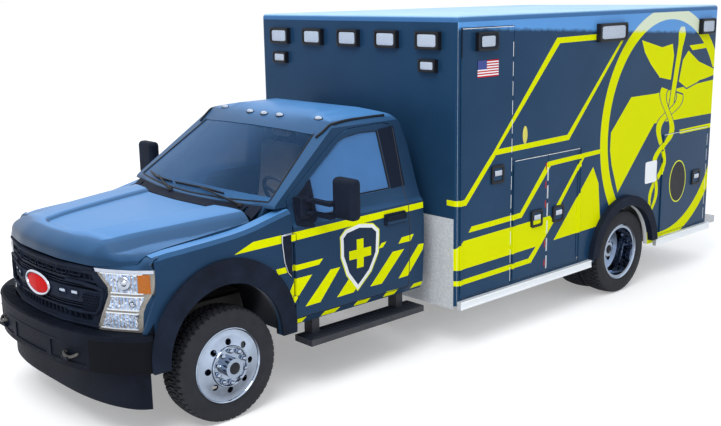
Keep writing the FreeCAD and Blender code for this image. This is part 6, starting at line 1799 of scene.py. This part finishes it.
def seamRing(low, high, level, radius, power=8.0):
    # piping that runs round a pad at one height
    line = outlineEllipse(((low[0] + high[0]) / 2, (low[1] + high[1]) / 2),
                          ((high[0] - low[0]) / 2, (high[1] - low[1]) / 2), 90, power)
    return tube(np.column_stack([line, np.full(len(line), level)]), radius, 6, True)


cushion, back, headrest = seatShapes()
posts = [tube(np.array([(x, aft(1600), 1.60), (x, aft(1622), 1.635), (x, aft(1630), 1.69)]), 0.007, 10)
         for x in (0.375, 0.485)]
piping = seamRing((0.176, aft(1006)), (0.684, aft(1492)), 1.052, 0.0045)
for name, side in sides:
    body = bodyOf("seat_" + name)
    for label, shape, fill in (("Cushion", cushion, 0.7), ("Back", back, 0.6), ("Headrest", headrest, 0.8)):
        padPiece("seat" + label + name.title(), mirrored(shape, side), body, seatCloth,
                 "seat_" + name)
    makePiece("seatPiping" + name.title(), mirrored(piping, side), trimBlack, 50, body=body)
    makePiece("headrestPosts" + name.title(), mirrored(merged(posts), side), chromeTrim, 50, body=body)
print("seats made")

form = pads["bench"]
benchY0, benchY1 = aft(3950), aft(5755)
benchSeat = puffed((-1.080, benchY0 + 0.006, 1.356), (-0.664, benchY1 - 0.006, 1.418), 0.024, form)
thirds = [(1, benchY0 + (benchY1 - benchY0) * k / 3, 0.012) for k in (1, 2)]
benchSeat = sewn(*benchSeat, np.array((-0.87, (benchY0 + benchY1) / 2, 1.385)), 0.035, thirds, form["channel"],
                 (0, 0, 1))
benchBack = puffed((-1.152, benchY0 + 0.006, 1.362), (-1.100, benchY1 - 0.006, 1.842), 0.020, form)
benchBack = sewn(*benchBack, np.array((-1.125, (benchY0 + benchY1) / 2, 1.60)), 0.03, thirds,
                 form["backChannel"], (1, 0, 0))
for label, shape, fill in (("benchSeat", benchSeat, 0.8), ("benchBack", benchBack, 0.8)):
    padPiece(label, shape, bodyOf("patient_bench"), benchVinyl, "patient_bench")
print("bench made")

# Floor, light and camera

stageSizes = {"floorHalf": 420.0, "floorColour": 0.80, "sky": 0.95, "keyPower": 640.0, "fillPower": 150.0}


def seenIn(tree):
    # 1 where the camera, a mirror or a pane looks
    rays = addNode(tree, "ShaderNodeLightPath").outputs
    return highest(rays["Is Camera Ray"], rays["Is Glossy Ray"], rays["Is Transmission Ray"])


def floorFinish():
    # pale matt floor; what the camera and mirrors see of it is lifted to white, with the shadow kept
    material, shader, place = newFinish("floorPale")
    tree = shader.id_data
    grey = stageSizes["floorColour"]
    broad = noiseOf(place, 0.4, 2, 0.5)
    setShader(shader, colour=mixColour(broad, (grey, grey, grey), (grey * 1.02, grey * 1.02, grey * 1.02)))
    setShader(shader, roughness=0.9, specular=0.0)
    glow = addNode(tree, "ShaderNodeEmission", {"Color": (1, 1, 1, 1), "Strength": 0.30})
    both = addNode(tree, "ShaderNodeAddShader", {0: shader.outputs[0], 1: glow.outputs[0]})
    pick = addNode(tree, "ShaderNodeMixShader", {0: seenIn(tree), 1: shader.outputs[0], 2: both.outputs[0]})
    tree.links.new(pick.outputs[0], tree.nodes["Material Output"].inputs["Surface"])
    return material


half = stageSizes["floorHalf"]
floorMesh = bpy.data.meshes.new("floor")
floorMesh.from_pydata([(-half, -half, 0), (half, -half, 0), (half, half, 0), (-half, half, 0)], [],
                      [[0, 1, 2, 3]])
floor = bpy.data.objects.new("floor", floorMesh)
scene.collection.objects.link(floor)
floorMesh.materials.append(floorFinish())


def buildWorld():
    world = bpy.data.worlds.new("studio")
    scene.world = world
    world.use_nodes = True
    tree = world.node_tree
    tree.nodes.clear()
    up = partsOf(addNode(tree, "ShaderNodeTexCoord").outputs["Generated"])[2]
    strength = spread(up, 0.0, 1.0, stageSizes["sky"] * 0.55, stageSizes["sky"] * 1.25)
    lit = addNode(tree, "ShaderNodeBackground", {"Color": (0.93, 0.96, 1.0, 1), "Strength": strength})
    white = addNode(tree, "ShaderNodeBackground", {"Color": (1, 1, 1, 1), "Strength": 1.0})
    pick = addNode(tree, "ShaderNodeMixShader", {0: seenIn(tree), 1: lit.outputs[0], 2: white.outputs[0]})
    output = addNode(tree, "ShaderNodeOutputWorld")
    tree.links.new(pick.outputs[0], output.inputs[0])


buildWorld()


def softLight(name, place, target, size, power):
    data = bpy.data.lights.new(name, "AREA")
    data.shape, data.size, data.energy = "DISK", size, power
    lamp = bpy.data.objects.new(name, data)
    lamp.location = place
    lamp.rotation_euler = (Vector(target) - Vector(place)).to_track_quat("-Z", "Y").to_euler()
    scene.collection.objects.link(lamp)


softLight("keyLight", (4.5, -7.5, 9.5), (0, -0.5, 1.2), 6.0, stageSizes["keyPower"])
softLight("topLight", (-1.0, 0.5, 11.0), (0, 0, 1.0), 7.0, stageSizes["fillPower"])

view = {"place": (6.292, -6.2585, 2.861), "yaw": 47.48, "pitch": 12.57, "roll": -0.93, "lens": 49.86}
yaw, pitch, roll = (math.radians(view[key]) for key in ("yaw", "pitch", "roll"))
back = np.array([math.sin(yaw) * math.cos(pitch), -math.cos(yaw) * math.cos(pitch), math.sin(pitch)])
right = np.cross(-back, (0, 0, 1))
right /= np.linalg.norm(right)
above = np.cross(right, -back)
turned = math.cos(roll) * right + math.sin(roll) * above
raised = -math.sin(roll) * right + math.cos(roll) * above
cameraData = bpy.data.cameras.new("camera")
cameraData.lens, cameraData.sensor_width = view["lens"], 36.0
cameraData.clip_end = 1500
camera = bpy.data.objects.new("camera", cameraData)
camera.matrix_world = Matrix(((turned[0], raised[0], back[0], view["place"][0]),
                              (turned[1], raised[1], back[1], view["place"][1]),
                              (turned[2], raised[2], back[2], view["place"][2]), (0, 0, 0, 1)))
scene.collection.objects.link(camera)
scene.camera = camera
scene.view_settings.view_transform = "Standard"
print("stage, light and camera set")
